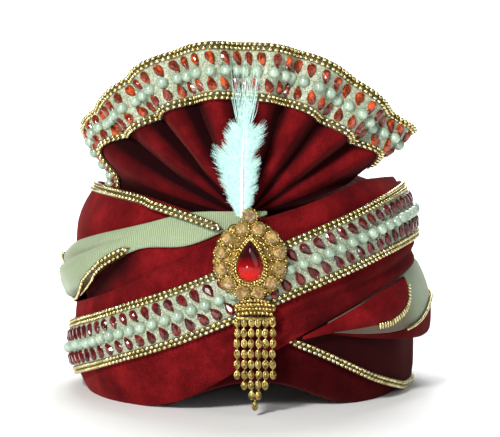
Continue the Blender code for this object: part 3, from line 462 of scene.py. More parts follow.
def glitter_net(name, light, dark, border=None):
    """Net with glittering flecks; a border colour fills both edges of a lace, under its gold beads."""
    material, tree, shader = node_material(name)
    place = object_coordinates(tree)
    flecks = noise_node(tree, 620, 2, place, 0.7)
    threads = tree.nodes.new("ShaderNodeTexVoronoi")
    threads.feature = "DISTANCE_TO_EDGE"
    threads.inputs["Scale"].default_value = 720
    tree.links.new(place, threads.inputs["Vector"])
    mesh_colour = ramp_node(tree, threads.outputs["Distance"], [(0.02, light), (0.22, dark)])
    fleck_colour = ramp_node(tree, flecks, [(0.45, dark), (0.68, light)])
    ground = mix_node(tree, 0.5, mesh_colour, fleck_colour)
    if border:
        split = tree.nodes.new("ShaderNodeSeparateXYZ")
        tree.links.new(tree.nodes.new("ShaderNodeTexCoord").outputs["UV"], split.inputs["Vector"])
        edge = tree.nodes.new("ShaderNodeMath")
        edge.operation = "PINGPONG"
        edge.inputs[1].default_value = LACE_WIDTH / 2
        tree.links.new(split.outputs["Y"], edge.inputs[0])
        inner = range_node(tree, edge.outputs["Value"], 0, 1, BORDER_WIDTH * 0.9, BORDER_WIDTH * 1.1)
        tape = ramp_node(tree, flecks, [(0.4, blend_colour(border, (0, 0, 0), 0.6)), (0.7, border)])
        ground = mix_node(tree, inner, tape, ground)
    tree.links.new(ground, shader.inputs["Base Color"])
    tree.links.new(range_node(tree, flecks, 0.65, 0.2), shader.inputs["Roughness"])
    shader.inputs["Sheen Weight"].default_value = 0.2 if border else 0.0
    bump_node(tree, shader, threads.outputs["Distance"], 0.5, 0.0006)
    return material


def metal(name, bright, deep, low, high, scale=260):
    """Plated metal whose tone and polish change a little from place to place."""
    material, tree, shader = node_material(name)
    place = object_coordinates(tree)
    tone = noise_node(tree, scale, 3, place)
    wear = noise_node(tree, scale * 5, 2, place)
    tree.links.new(ramp_node(tree, tone, [(0.35, deep), (0.62, bright)]), shader.inputs["Base Color"])
    tree.links.new(range_node(tree, wear, low, high), shader.inputs["Roughness"])
    shader.inputs["Metallic"].default_value = 1.0
    bump_node(tree, shader, wear, 0.08, 0.0002)
    return material


def stone(name, dark, light, tone_scale, roughness=0.05, stops=(0.42, 0.62), coat=0.3, index=1.5):
    """Glossy stone whose colour shifts from stone to stone."""
    material, tree, shader = node_material(name)
    tone = noise_node(tree, tone_scale, 2, object_coordinates(tree), 0.8)
    cloud = noise_node(tree, 900, 2, object_coordinates(tree), 0.5)
    even = ramp_node(tree, tone, [(stops[0], dark), (stops[1], light)])
    mixed = mix_node(tree, 0.3, even, ramp_node(tree, cloud, [(0.3, dark), (0.7, light)]))
    tree.links.new(mixed, shader.inputs["Base Color"])
    tree.links.new(range_node(tree, cloud, roughness, roughness + 0.06), shader.inputs["Roughness"])
    settle(shader, {"IOR": index, "Coat Weight": coat, "Coat Roughness": 0.03})
    return material


def cabochon(name, dark, bright):
    """The middle stone, with painted light: its lower half painted bright and its point painted dark."""
    material, tree, shader = node_material(name)
    split = tree.nodes.new("ShaderNodeSeparateXYZ")
    tree.links.new(object_coordinates(tree), split.inputs["Vector"])
    low = BROOCH_HEIGHT - CENTRE_LENGTH / 2
    rise = range_node(tree, split.outputs["Z"], 0, 1, low, low + CENTRE_LENGTH)
    depth = ramp_node(tree, rise, [(0.12, bright), (0.34, blend_colour(bright, dark, 0.55)), (0.62, dark)])
    cloud = noise_node(tree, 350, 2, object_coordinates(tree))
    haze = ramp_node(tree, cloud, [(0.3, (0.75, 0.75, 0.75)), (0.7, (1, 1, 1))])
    tree.links.new(mix_node(tree, 1.0, depth, haze, "MULTIPLY"), shader.inputs["Base Color"])
    tree.links.new(range_node(tree, cloud, 0.03, 0.07), shader.inputs["Roughness"])
    shader.inputs["IOR"].default_value = 1.36
    return material


def blend_colour(a, b, share):
    return tuple(blend(x, y, share) for x, y in zip(a, b))


def down(name, shade, light):
    """Feather barbs, faintly uneven in tone."""
    material, tree, shader = node_material(name)
    fine = noise_node(tree, 500, 2, object_coordinates(tree))
    colour = ramp_node(tree, fine, [(0.3, shade), (0.6, light)])
    tree.links.new(colour, shader.inputs["Base Color"])
    settle(shader, {"Roughness": 0.7, "Sheen Weight": 0.5, "Sheen Tint": (0.85, 1.0, 0.97, 1)})
    settle(shader, {"Subsurface Weight": 0.15, "Subsurface Scale": 0.002})
    return material


VELVET = velvet("maroon_velvet", (0.030, 0.0014, 0.0022), (0.116, 0.0042, 0.0058), (0.28, 0.0105, 0.013))
SHADE_VELVET = velvet("shade_velvet", (0.012, 0.0006, 0.0010), (0.036, 0.0012, 0.002), (0.085, 0.004, 0.005))
LINING = velvet("lining_cotton", (0.10, 0.012, 0.014), (0.16, 0.022, 0.024), (0.22, 0.035, 0.036))
CREAM = ribbed_net("cream_net", (0.305, 0.375, 0.228), (0.165, 0.212, 0.120), 0.0014)
NET = glitter_net("lace_net", (0.52, 0.58, 0.42), (0.14, 0.17, 0.10), (0.085, 0.068, 0.016))
OLIVE_TAPE = glitter_net("bead_tape", (0.105, 0.080, 0.018), (0.020, 0.014, 0.003))
GOLD = metal("bead_gold", (0.90, 0.80, 0.45), (0.38, 0.31, 0.10), 0.14, 0.30)
OLD_GOLD = metal("old_gold", (0.50, 0.38, 0.13), (0.11, 0.068, 0.016), 0.14, 0.34, 420)
PLATE_GOLD = metal("plate_gold", (0.34, 0.23, 0.065), (0.10, 0.056, 0.012), 0.24, 0.44, 700)
BROOCH_GOLD = metal("brooch_gold", (0.72, 0.56, 0.21), (0.27, 0.17, 0.04), 0.14, 0.32, 500)
PEARL_WHITE = stone("pearl", (0.23, 0.335, 0.245), (0.40, 0.51, 0.39), 60, 0.17, index=1.8)
RED = stone("red_drop", (0.022, 0.0012, 0.0014), (0.17, 0.006, 0.004), 190, 0.09)
FIRE_RED = stone("fire_drop", (0.030, 0.0014, 0.0014), (0.66, 0.085, 0.010), 140, 0.08, (0.51, 0.68))
AMBER = stone("amber_stone", (0.11, 0.055, 0.014), (0.54, 0.37, 0.13), 330, coat=0.8, index=1.65)
TOPAZ = stone("topaz_stone", (0.11, 0.065, 0.025), (0.46, 0.36, 0.20), 300)
CLEAR = stone("clear_stone", (0.30, 0.28, 0.22), (0.60, 0.58, 0.50), 200)
CENTRE_RED = cabochon("centre_red", (0.030, 0.0010, 0.003), (0.62, 0.004, 0.002))
FEATHER_QUILL = down("feather_quill", (0.80, 0.93, 0.90), (0.92, 0.99, 0.97))
FEATHER_DOWN = down("feather_down", (0.40, 0.68, 0.62), (0.64, 0.90, 0.83))


# Mesh building


def add_object(name, mesh, material, nodes):
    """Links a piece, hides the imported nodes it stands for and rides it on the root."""
    obj = bpy.data.objects.new(name, mesh)
    bpy.context.scene.collection.objects.link(obj)
    mesh.materials.append(material)
    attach(obj, "root")
    if nodes:
        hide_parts(*nodes)
    return obj


def grid_mesh(name, columns, rows, place, metres=(1.0, 1.0), shade=None):
    """A grid whose points go to place(0..1, 0..1), with its cloth coordinates in metres as UVs."""
    made = bmesh.new()
    layer = made.loops.layers.uv.new("cloth")
    # Painted shade for each point, kept as "shade" for the materials to darken their colour by.
    depth = made.verts.layers.float.new("shade")
    verts = []
    for i in range(columns + 1):
        verts.append([made.verts.new(place(i / columns, j / rows)) for j in range(rows + 1)])
    if shade:
        for i, column in enumerate(verts):
            for j, vertex in enumerate(column):
                vertex[depth] = min(1.0, max(0.0, shade(i / columns, j / rows)))
    for i in range(columns):
        for j in range(rows):
            face = made.faces.new((verts[i][j], verts[i + 1][j], verts[i + 1][j + 1], verts[i][j + 1]))
            face.smooth = True
            for loop, (a, b) in zip(face.loops, ((i, j), (i + 1, j), (i + 1, j + 1), (i, j + 1))):
                loop[layer].uv = (a / columns * metres[0], b / rows * metres[1])
    bmesh.ops.remove_doubles(made, verts=made.verts, dist=1e-6)
    mesh = bpy.data.meshes.new(name)
    made.to_mesh(mesh)
    made.free()
    return mesh


def cloth(
    name, columns, rows, place, thickness, material, nodes, metres=(1.0, 1.0), levels=1, shade=None,
):
    """A sheet with a rounded hem: thickened evenly, then subdivided."""
    obj = add_object(name, grid_mesh(name, columns, rows, place, metres, shade), material, nodes)
    solid = obj.modifiers.new("cloth", "SOLIDIFY")
    solid.thickness = thickness
    solid.offset = 0
    if levels:
        soft = obj.modifiers.new("soft_hem", "SUBSURF")
        soft.levels = levels
        soft.render_levels = levels
    return obj


def wound_place(start, end, low, high, lift):
    def place(u, v):
        angle = blend(start, end, u)
        height = blend(low(angle), high(angle), v)
        return on_body(angle, height, lift(angle, height))

    return place


def wound_shade(start, end, low, high, shade):
    def at(u, v):
        angle = blend(start, end, u)
        return shade(turned(angle), blend(low(angle), high(angle), v))

    return at


def near(value, middle, spread):
    """1 at the middle, falling off smoothly over the spread."""
    return math.exp(-(((value - middle) / spread) ** 2))


def raised(height):
    return Matrix.Translation((0, 0, height))


def spun(turn, axis="Z"):
    return Matrix.Rotation(turn, 4, axis)


def surface_frame(point_at, s, t, step=0.0008):
    """Origin and axes on a surface given by point_at(s, t): along s, across, and outwards."""
    origin = point_at(s, t)
    along = (point_at(s + step, t) - point_at(s - step, t)).normalized()
    across = point_at(s, t + step) - point_at(s, t - step)
    out = along.cross(across).normalized()
    across = out.cross(along)
    matrix = Matrix((along, across, out)).transposed().to_4x4()
    matrix.translation = origin
    return matrix


def copies(name, shapes, placings, material, nodes, flat=False):
    """One mesh with a copy of a shape at each placing; shapes is one (points, faces)."""
    points, faces = shapes
    verts, polys = [], []
    for matrix in placings:
        base = len(verts)
        verts.extend(matrix @ point for point in points)
        polys.extend(tuple(base + k for k in face) for face in faces)
    mesh = bpy.data.meshes.new(name)
    mesh.from_pydata([tuple(v) for v in verts], [], polys)
    if not flat:
        mesh.shade_smooth()
    return add_object(name, mesh, material, nodes)


def ringed(outlines, close_low=True, close_high=True):
    """Points and faces through rings of the same number of points, each a list of vectors."""
    points = [point for ring in outlines for point in ring]
    count = len(outlines[0])
    faces = []
    for r in range(len(outlines) - 1):
        for k in range(count):
            after = (k + 1) % count
            faces.append((r * count + k, r * count + after, (r + 1) * count + after, (r + 1) * count + k))
    if close_low:
        faces.append(tuple(reversed(range(count))))
    if close_high:
        faces.append(tuple(range((len(outlines) - 1) * count, len(outlines) * count)))
    return points, faces


def circle(radius, height, sides, turn=0.0):
    turns = [2 * math.pi * (k + turn) / sides for k in range(sides)]
    return [Vector((radius * math.cos(t), radius * math.sin(t), height)) for t in turns]


def bead_shape(radius, sides, rings, cut=-0.45):
    """A bead whose lowest part, which lies in the cloth, is left off."""
    lowest = math.asin(cut)
    outlines = []
    for r in range(rings):
        lift = blend(lowest, math.pi / 2 * 0.88, r / (rings - 1))
        outlines.append(circle(radius * math.cos(lift), radius * math.sin(lift), sides, 0.5 * (r % 2)))
    return ringed(outlines)


def drop_ring(half_width, length, grow, height, sides):
    """A pear outline, point towards +Y."""
    ring = []
    for k in range(sides):
        t = -2 * math.pi * (k + 0.5) / sides
        wide, tall = half_width + grow, length / 2 + grow
        pointed = abs(math.sin(t / 2)) ** 0.9
        ring.append(Vector((wide * 1.12 * math.sin(t) * pointed, tall * math.cos(t), height)))
    return ring


def cut_drop(half_width, length, height, sides=12):
    return ringed([
        drop_ring(half_width, length, 0, 0, sides),
        drop_ring(half_width, length, 0, height * 0.3, sides),
        drop_ring(half_width, length, -half_width * 0.38, height * 0.8, sides),
        drop_ring(half_width, length, -half_width * 0.62, height, sides),
    ])


def cut_round(radius, height, sides=12):
    """A round stone with a girdle, two rows of crown facets turned against each other, and a table."""
    return ringed([
        circle(radius * 0.6, -height * 0.2, sides),
        circle(radius, 0, sides),
        circle(radius, height * 0.16, sides),
        circle(radius * 0.80, height * 0.70, sides, 0.5),
        circle(radius * 0.48, height, sides),
    ])


def spaced(point_at, start, end, pitch, phase=0.5, fine=1200):
    """Parameters between start and end whose points lie a pitch apart along the curve."""
    steps = [blend(start, end, k / fine) for k in range(fine + 1)]
    path = [point_at(s) for s in steps]
    lengths = [0.0]
    for a, b in zip(path, path[1:]):
        lengths.append(lengths[-1] + (b - a).length)
    count = max(1, round(lengths[-1] / pitch))
    found, k = [], 0
    for i in range(count):
        wanted = (i + phase) / count * lengths[-1]
        while lengths[k + 1] < wanted:
            k += 1
        share = (wanted - lengths[k]) / (lengths[k + 1] - lengths[k])
        found.append(blend(steps[k], steps[k + 1], share))
    return found


GOLD_BEAD_SHAPE = bead_shape(GOLD_BEAD, 12, 6)
PEARL_SHAPE = bead_shape(PEARL, 16, 8)
SPECK_SHAPE = bead_shape(SPECK, 6, 3)
DROP_SHAPE = cut_drop(DROP_HALF_WIDTH, DROP_LENGTH, 0.0024)

# Middles of the gold rows across the lace, as shares of its half width
LACE_GOLD_ROWS = (-0.94, -0.785, 0.785, 0.94)


def never(s, offset):
    return False


OVAL_BEAD = (GOLD_BEAD_STRETCH, 1, 1)
SMALL_BEAD = (SMALL_BEAD_SHARE * GOLD_BEAD_STRETCH, SMALL_BEAD_SHARE, SMALL_BEAD_SHARE)
ROD_BEAD = (0.62, ROD_HALF_LENGTH / GOLD_BEAD, 0.72)


def bead_rows(name, surface, start, end, offsets, hidden=never, stretch=OVAL_BEAD, pitch=GOLD_PITCH):
    """Rows of gold beads at these offsets from a band's middle, left out where cloth covers them."""
    placings = []
    slant = 0 if stretch == ROD_BEAD else math.radians(GOLD_SLANT)
    lie = raised(GOLD_BEAD * 0.55) @ spun(slant) @ Matrix.Diagonal((*stretch, 1))
    for row, offset in enumerate(offsets):
        for s in spaced(lambda s: surface(s, offset), start, end, pitch, 0.25 + 0.5 * (row % 2)):
            if not hidden(s, offset):
                placings.append(surface_frame(surface, s, offset) @ lie)
    return copies(name, GOLD_BEAD_SHAPE, placings, GOLD, ())


def lace_jewels(name, surface, start, end, seed, drop_material, hidden=never):
    """Gold rows, pearls, red drops and silvery specks of a lace, on surface(s, metres from its middle)."""
    half = LACE_WIDTH / 2
    rng = random.Random(seed)
    bead_rows(name + "_gold_beads", surface, start, end, [row * half for row in LACE_GOLD_ROWS], hidden)
    middles = spaced(lambda s: surface(s, 0), start, end, STONE_PITCH)
    pearls, drops, specks = [], [], []
    step = middles[1] - middles[0]
    for s in middles:
        if not hidden(s, 0):
            offset = rng.uniform(-0.0004, 0.0004)
            pearls.append(surface_frame(surface, s, offset) @ raised(PEARL * 0.42))
        for side in (-1, 1):
            lean = math.radians(rng.uniform(12, 30))
            at = s + step * (0.28 if side > 0 else -0.22) + step * rng.uniform(-0.05, 0.05)
            turn = spun((math.pi if side > 0 else 0) + lean)
            tilt = spun(math.radians(rng.uniform(-7, 7)), "X")
            if not hidden(at, side * half * 0.43):
                base = surface_frame(surface, at, side * half * 0.43)
                drops.append(base @ turn @ tilt @ raised(0.0003))
        for k in range(12):
            at = s + step * rng.uniform(-0.5, 0.5)
            offset = rng.choice((-1, 1)) * rng.uniform(0.10, 0.70) * half
            if not hidden(at, offset):
                specks.append(surface_frame(surface, at, offset) @ raised(SPECK * 0.4))
    copies(name + "_pearls", PEARL_SHAPE, pearls, PEARL_WHITE, ())
    copies(name + "_red_drops", DROP_SHAPE, drops, drop_material, (), flat=True)
    copies(name + "_specks", SPECK_SHAPE, specks, CLEAR, ())


# The wraps


def rising_edge(column):
    return lambda angle: on_body_share(RISING_WRAP, angle, column)


def falling_edge(column):
    return lambda angle: on_body_share(FALLING_WRAP, angle, column)


ROUND_METRES = math.pi * (BODY_HALF_WIDTH + BODY_HALF_DEPTH)


def rising_shade(turn, height):
    """Painted shade under the lace on the right, above it further round on the right, and along the hidden
    upper edge.
    """
    lace = on_body_share(RISING_WRAP, turn, "lace")
    below = smooth((lace - LACE_WIDTH / 2 - height) / 0.004)
    below *= smooth((turn - 8) / 20) * (1 - smooth((turn - 110) / 30))
    high = on_body_share(RISING_WRAP, turn, "high")
    above = smooth((height - lace - LACE_WIDTH * 0.75) / 0.02)
    above *= smooth((turn - 20) / 30) * (1 - smooth((turn - 120) / 30))
    tucked = near(height, high, 0.004) * 0.3
    return 0.42 * below + 0.55 * above + tucked


def falling_shade(turn, height):
    """Dark under the left sash's roll and on the lower right, where no light falls."""
    under_roll = smooth((turn + 82) / 14) * (1 - smooth((turn + 44) / 14))
    cavity = under_roll * near(height, left_low(turn) - 0.004, 0.012)
    right = smooth((turn - 4) / 16) * (1 - smooth((turn - 105) / 40))
    return 0.97 * cavity + 0.93 * right


def make_wraps():
    edges = rising_edge("low"), rising_edge("high")
    cloth(
        "rising_wrap_velvet", 240, 36, wound_place(-180, 180, *edges, rising_lift),
        CLOTH, VELVET, ("rising_wrap",), (ROUND_METRES, 0.08),
        shade=wound_shade(-180, 180, *edges, rising_shade),
    )
    edges = falling_edge("low"), falling_edge("high")
    cloth(
        "falling_wrap_velvet", 240, 28, wound_place(-180, 180, *edges, falling_lift),
        CLOTH, VELVET, ("falling_wrap",), (ROUND_METRES, 0.075),
        shade=wound_shade(-180, 180, *edges, falling_shade),
    )


def lace_surface(angle, offset):
    """A point of the wrap's lace; the angle goes round, the offset is from its middle."""
    height = on_body_share(RISING_WRAP, angle, "lace") + offset
    over = CLOTH / 2 + LAYER_GAP * 1.5 + LACE_THICKNESS * 0.8
    return on_body(angle, height, rising_lift(angle, height) + over)


def make_wrap_lace():
    half = LACE_WIDTH / 2

    def place(u, v):
        return lace_surface(blend(-180, 180, u), blend(-half, half, v))

    cloth(
        "wrap_lace_net", 200, 8, place, NET_CLOTH, NET, ("wrap_lace",),
        (ROUND_METRES, LACE_WIDTH), 0,
    )

    def under_falling(angle, offset):
        height = rising_edge("lace")(angle) + offset
        low, high = falling_edge("low")(angle), falling_edge("high")(angle)
        return front_share(angle) < 0.9 and low - GOLD_BEAD < height < high + GOLD_BEAD

    lace_jewels("wrap_lace", lace_surface, -180, 180, 7, RED, under_falling)


def cap_side(angle, height):
    """A point on the cap's outer side."""
    share = min(1.0, max(0.0, height / (BODY_HEIGHT + CAP_CROWN)))
    narrowed = (1 - share**CAP_SQUARENESS) ** (1 / CAP_SQUARENESS)
    return oval(angle, CAP_HALF_WIDTH * narrowed + LAYER_GAP, CAP_HALF_DEPTH * narrowed + LAYER_GAP, height)


def padding_lift(angle, height):
    return max(0.0, min(rising_lift(angle, height), falling_lift(angle, height)) - CLOTH / 2 - LAYER_GAP)


def make_body():
    """The padded ring under the wraps: rolled rim, outer face, top, and the side against the cap."""
    turns, side_rows, roll_rows = 160, 14, 4

    def section(angle):
        foot, top = arch(angle), on_body_share(PADDING_TOP, angle, "top")
        inner = cap_side(angle, foot + RIM_ROUND)
        outer = on_body(angle, foot + RIM_ROUND, 0)
        points = []
        for k in range(roll_rows + 1):
            turn = math.pi * k / roll_rows
            point = inner.lerp(outer, (1 - math.cos(turn)) / 2)
            point.z = foot + RIM_ROUND * (1 - math.sin(turn))
            points.append(point)
        for k in range(1, side_rows):
            height = blend(foot + RIM_ROUND, top - RIM_ROUND, k / side_rows)
            points.append(on_body(angle, height, padding_lift(angle, height) * smooth(k / 3)))
        edge = on_body(angle, top, padding_lift(angle, top) - RIM_ROUND * 0.5)
        points.append(on_body(angle, top - RIM_ROUND * 0.3, padding_lift(angle, top - RIM_ROUND * 0.3)))
        inner_top = cap_side(angle, top)
        points += [edge.lerp(inner_top, share) for share in (0.0, 0.35, 0.7, 1.0)]
        points += [cap_side(angle, blend(top, foot + RIM_ROUND, share)) for share in (0.33, 0.66)]
        return points

    rings = [section(360 * k / turns - 180) for k in range(turns)]
    count = len(rings[0])
    verts = [tuple(point) for ring in rings for point in ring]
    faces = []
    for i in range(turns):
        following = (i + 1) % turns
        for k in range(count):
            after = (k + 1) % count
            here, there = i * count, following * count
            faces.append((here + k, there + k, there + after, here + after))
    mesh = bpy.data.meshes.new("padded_body_cover")
    mesh.from_pydata(verts, [], faces)
    mesh.shade_smooth()
    body = add_object("padded_body_cover", mesh, SHADE_VELVET, ("padded_body",))


def crown_rim(angle):
    """Edge of the crown's cloth: inside the fan in front and near the padding's edge behind it."""
    top = on_body_share(PADDING_TOP, angle, "top")
    behind_fan = smooth((abs(turned(angle)) - 78) / 22)
    reach = blend(CROWN_FRONT_SHARE, CROWN_BACK_SHARE, behind_fan)
    edge = padding_lift(angle, top) - RIM_ROUND * 0.5 - body_inset(top)
    height = top + LAYER_GAP + CLOTH / 2
    return oval(angle, (BODY_HALF_WIDTH + edge) * reach, (BODY_HALF_DEPTH + edge) * reach, height)


def make_crown():
    """Cloth gathered to the middle of the crown and spread over the cap and the padding's top."""
    summit = BODY_HEIGHT + CAP_CROWN + CROWN_RISE

    def place(u, v):
        angle = blend(-180, 180, u)
        rim = crown_rim(angle)
        spread = 1 - v
        turn = angle / 360 * CROWN_GATHERS + 0.45 * ripple(angle, 0, 2.0, 1, 3.0)
        fold = math.cos(turn * 2 * math.pi) * 0.6 + 0.3 * math.cos(turn * 4 * math.pi + 1.0 + 3 * v)
        point = MIDDLE.lerp(rim, spread)
        point.z = blend(rim.z, summit, 1 - spread**CROWN_FULLNESS)
        calm = 1 - 0.85 * (1 - smooth((abs(turned(angle)) - 85) / 30)) * (1 - smooth((v - 0.25) / 0.4))
        point.z += CROWN_GATHER_DEPTH * calm * fold * spread**0.5 * smooth(v / 0.1)
        point.z += CROWN_UNEVEN * ripple(angle, v, 2.5, 4, 8.0) * spread
        return point

    # Painted shade on the crown's cloth in front, beside the fan, strongest at its rim.
    def painted_shade_beside_fan(u, v):
        front = 1 - smooth((abs(turned(blend(-180, 180, u))) - 85) / 30)
        return 0.9 * front * (1 - smooth((v - 0.1) / 0.5))

    cloth(
        "crown_gathers", 340, 22, place, CROWN_CLOTH, VELVET, ("crown_cloth",),
        (ROUND_METRES, 0.1), 0, painted_shade_beside_fan,
    )


# Sashes, each from one angle to another

LEFT_SASH_SPAN = -157.5, 7.5
RIGHT_SASH_SPAN = 27, 135
FLAP_SPAN = 18, 64


def loop_bow(table, angle, share):
    edge = curve(table, "angle", angle, "edge")
    middle = curve(table, "angle", angle, "middle")
    return LOOP_REACH * (edge * (1 - share) ** 2 + middle * puffed(share, 0.8))


def over_falling_wrap(angle, height):
    return falling_lift(angle, height) + CLOTH / 2 + LAYER_GAP * 1.5 + SASH_CLOTH / 2


def table_height(table, column):
    return lambda angle: curve(table, "angle", angle, column) * BODY_HEIGHT


left_low, left_high = table_height(LEFT_SASH, "low"), table_height(LEFT_SASH, "high")
right_low, right_meet = table_height(RIGHT_SASH, "low"), table_height(RIGHT_SASH, "meet")
flap_low = table_height(FLAP_EDGE, "low")


def right_high(angle):
    return on_body_share(RISING_WRAP, angle, "low") - LAYER_GAP


def left_roll(angle):
    """Radius to which the left sash's lower edge curls under, out at the side."""
    turn = turned(angle)
    return LEFT_ROLL_LEAST + LEFT_ROLL * smooth((-turn - 48) / 24) * (1 - smooth((-turn - 120) / 25))


def left_lift(angle, height):
    share = (height - left_low(angle)) / max(0.001, left_high(angle) - left_low(angle))
    turn = turned(angle)
    rolled = smooth((-turn - 36) / 18)
    crease = -LEFT_CREASE * rolled * near(share, 0.66, 0.09)
    return over_falling_wrap(angle, height) + loop_bow(LEFT_SASH, angle, share) + crease


def left_section(angle, along):
    """A point of the left sash: along is measured up its face from where its edge curls under."""
    radius = left_roll(angle)
    start = left_low(angle) + radius
    if along >= 0:
        return on_body(angle, start + along, left_lift(angle, start + along))
    turn = max(along / radius, -LEFT_CURL)
    out = left_lift(angle, start) - radius * (1 - math.cos(turn))
    return on_body(angle, start + radius * math.sin(turn), out)


def left_face(angle):
    return left_high(angle) - left_low(angle) - left_roll(angle)


def right_lift(angle, height):
    share = (height - right_low(angle)) / max(0.001, right_high(angle) - right_low(angle))
    return over_falling_wrap(angle, height) + loop_bow(RIGHT_SASH, angle, share)


def flap_lift(angle, height):
    span = max(0.001, right_high(angle) - flap_low(angle))
    bulge = FLAP_BULGE * span * puffed((height - flap_low(angle)) / span)
    return right_lift(angle, height) + SASH_CLOTH + LAYER_GAP + bulge


def make_sashes():
    start, end = LEFT_SASH_SPAN

    def left_along(angle, v):
        return blend(-left_roll(angle) * LEFT_CURL, left_face(angle), v)

    def left_place(u, v):
        angle = blend(start, end, u)
        return left_section(angle, left_along(angle, v))

    # Painted shade: a little over the upper strip where the sash rolls out, deep along its crease, and on
    # the part that curls under.
    def left_shade(u, v):
        angle = blend(start, end, u)
        share = left_along(angle, v) / max(0.001, left_face(angle))
        rolled = smooth((-angle - 40) / 16)
        upper = 0.10 * smooth((share - 0.68) / 0.1) * rolled
        return upper + 0.45 * rolled * near(share, 0.67, 0.05) + 0.5 * smooth(-share / 0.25)

    cloth(
        "left_sash_net", 130, 26, left_place, SASH_CLOTH, CREAM, ("left_sash",), (0.34, 0.035),
        shade=left_shade,
    )

    # Painted shade on the net below the flap, fading out past 58 degrees, and along the line where it meets
    # the lip.
    def strip_shade(turn, height):
        return 0.80 * (1 - smooth((turn - 58) / 12)) + 0.35 * near(height, right_meet(turn), 0.003)

    net = *RIGHT_SASH_SPAN, right_meet, right_high
    cloth(
        "right_sash_net", 90, 16, wound_place(*net, right_lift), SASH_CLOTH, CREAM,
        ("right_sash",), (0.22, 0.034), shade=wound_shade(*net, strip_shade),
    )
    # The velvet lip below the net is painted in even shade.
    cloth(
        "right_sash_velvet_lip", 90, 8, wound_place(*RIGHT_SASH_SPAN, right_low, right_meet, right_lift),
        SASH_CLOTH, VELVET, ("right_sash_lip",), (0.22, 0.012), shade=lambda u, v: 0.45,
    )
    cloth(
        "right_flap_velvet", 60, 14, wound_place(*FLAP_SPAN, flap_low, right_high, flap_lift),
        SASH_CLOTH, VELVET, ("right_flap",), (0.11, 0.02),
    )


def make_trims():
    """Gold beads on a dark tape along each trimmed edge."""
    over_cloth = CLOTH / 2 + LAYER_GAP
    over_sash = SASH_CLOTH / 2 + LAYER_GAP

    def upper_lift(angle, height):
        on_sash = (SASH_CLOTH + LAYER_GAP * 2 + WRAP_PUFF) * smooth((angle + 37.5) / 7.5)
        return falling_lift(angle, height) + over_cloth + on_sash

    def left_fold_edge(angle):
        """The sash's upper edge folds over where it swings out, and runs along its middle behind."""
        folded = blend(left_low(angle), left_high(angle), LEFT_FOLD_SHARE)
        return blend(left_high(angle) - TRIM_WIDTH * 1.2, folded, smooth((-angle - 85) / 13))

    trims = [
        ("falling_trim_upper", -270, -6.5, lambda a: falling_edge("high")(a) - TRIM_WIDTH / 2, upper_lift),
        ("falling_trim_lower", 14, 189, lambda a: falling_edge("low")(a) + TRIM_WIDTH / 2,
         lambda a, h: falling_lift(a, h) + over_cloth),
        ("left_trim_upper", -140, -84, left_fold_edge, lambda a, h: left_lift(a, h) + over_sash),
        ("right_trim_lip", 60, 133, right_meet, lambda a, h: right_lift(a, h) + over_sash),
    ]
    for name, start, end, middle, lift in trims:
        def surface(angle, offset, middle=middle, lift=lift):
            height = middle(angle) + offset
            return on_body(angle, height, lift(angle, height))

        trim_on(name, start, end, surface)

    def left_edge(angle, offset):
        """Along the left sash's lower edge, which turns under its roll at the side."""
        offset *= 1 - 0.65 * near(angle, -78, 12)
        along = TRIM_WIDTH / 2 - left_roll(angle) * LEFT_CURL + offset
        inner, outer = left_section(angle, along - 0.0004), left_section(angle, along + 0.0004)
        ahead = left_section(angle + 0.5, along) - left_section(angle - 0.5, along)
        out = ahead.cross(outer - inner).normalized()
        return left_section(angle, along) + out * over_sash

    trim_on("left_trim_lower", -142.5, -37.5, left_edge)

    def flap_end(angle, offset):
        """Square to the flap's edge, which turns up at its round end."""
        step = 0.3
        climb = flap_low(angle + step) - flap_low(angle - step)
        rise = climb / (2 * math.radians(step) * BODY_HALF_WIDTH)
        inwards = (offset - TRIM_WIDTH * 0.12) / math.hypot(1, rise)
        height = flap_low(angle) + inwards
        turn = angle - math.degrees(rise * inwards / BODY_HALF_WIDTH)
        return on_body(turn, height, flap_lift(turn, height) + over_sash)

    trim_on("right_trim_flap", 45, 63.4, flap_end)


# Trims with one row of beads: the beads' form and pitch, and the share of a trim's width that they take
NARROW_TRIMS = {
    "right_trim_lip": (SMALL_BEAD, GOLD_PITCH * SMALL_BEAD_SHARE * 0.95, 0.45),
    "right_trim_flap": (ROD_BEAD, ROD_PITCH, 0.80),
}


def trim_on(name, start, end, surface):
    """A tape with its beads, drawn in to a point where it ends."""
    stretch, pitch, share = NARROW_TRIMS.get(name, (OVAL_BEAD, GOLD_PITCH, 1.0))
    half = TRIM_WIDTH / 2 * share
    columns = max(24, 2 * round(abs(end - start)))

    def open_share(angle):
        return smooth(min(angle - start, end - angle) / TRIM_END)

    def drawn_in(angle, offset):
        return surface(angle, offset * blend(0.12, 1, open_share(angle)))

    def beyond(angle, offset):
        return offset > 0 and open_share(angle) < 0.4

    cloth(
        name + "_tape", columns, 3, lambda u, v: drawn_in(blend(start, end, u), blend(-half, half, v)),
        TAPE_CLOTH, OLIVE_TAPE, (name,), levels=0,
    )
    middles = (0.0,) if name in NARROW_TRIMS else (-half * 0.53, half * 0.53)
    bead_rows(name + "_beads", drawn_in, start, end, middles, beyond, stretch, pitch)


# Fan crest


def fan_base():
    return on_body_share(PADDING_TOP, 0, "top") + FAN_SEAT


def bent_fan(flat_angle, radius):
    a = math.radians(flat_angle)
    side, height = radius * math.sin(a), fan_base() + radius * math.cos(a)
    base, growth = FAN_BEND["left" if side < 0 else "right"]
    bend = base + growth * max(0.0, height - BODY_HEIGHT)
    turn = side / bend
    point = MIDDLE + Vector((bend * math.sin(turn), -FAN_DEPTH + bend * (1 - math.cos(turn)), height))
    return point, Vector((math.sin(turn), -math.cos(turn), 0))


def fan_angle(u, radius_share):
    angle = blend(FAN_LEFT_ANGLE, FAN_RIGHT_ANGLE, u)
    cut = (FAN_RIGHT_ANGLE - FAN_CUT_ANGLE) * smooth((radius_share - 0.6) / 0.4)
    return angle - cut * smooth((u - 0.86) / 0.14)


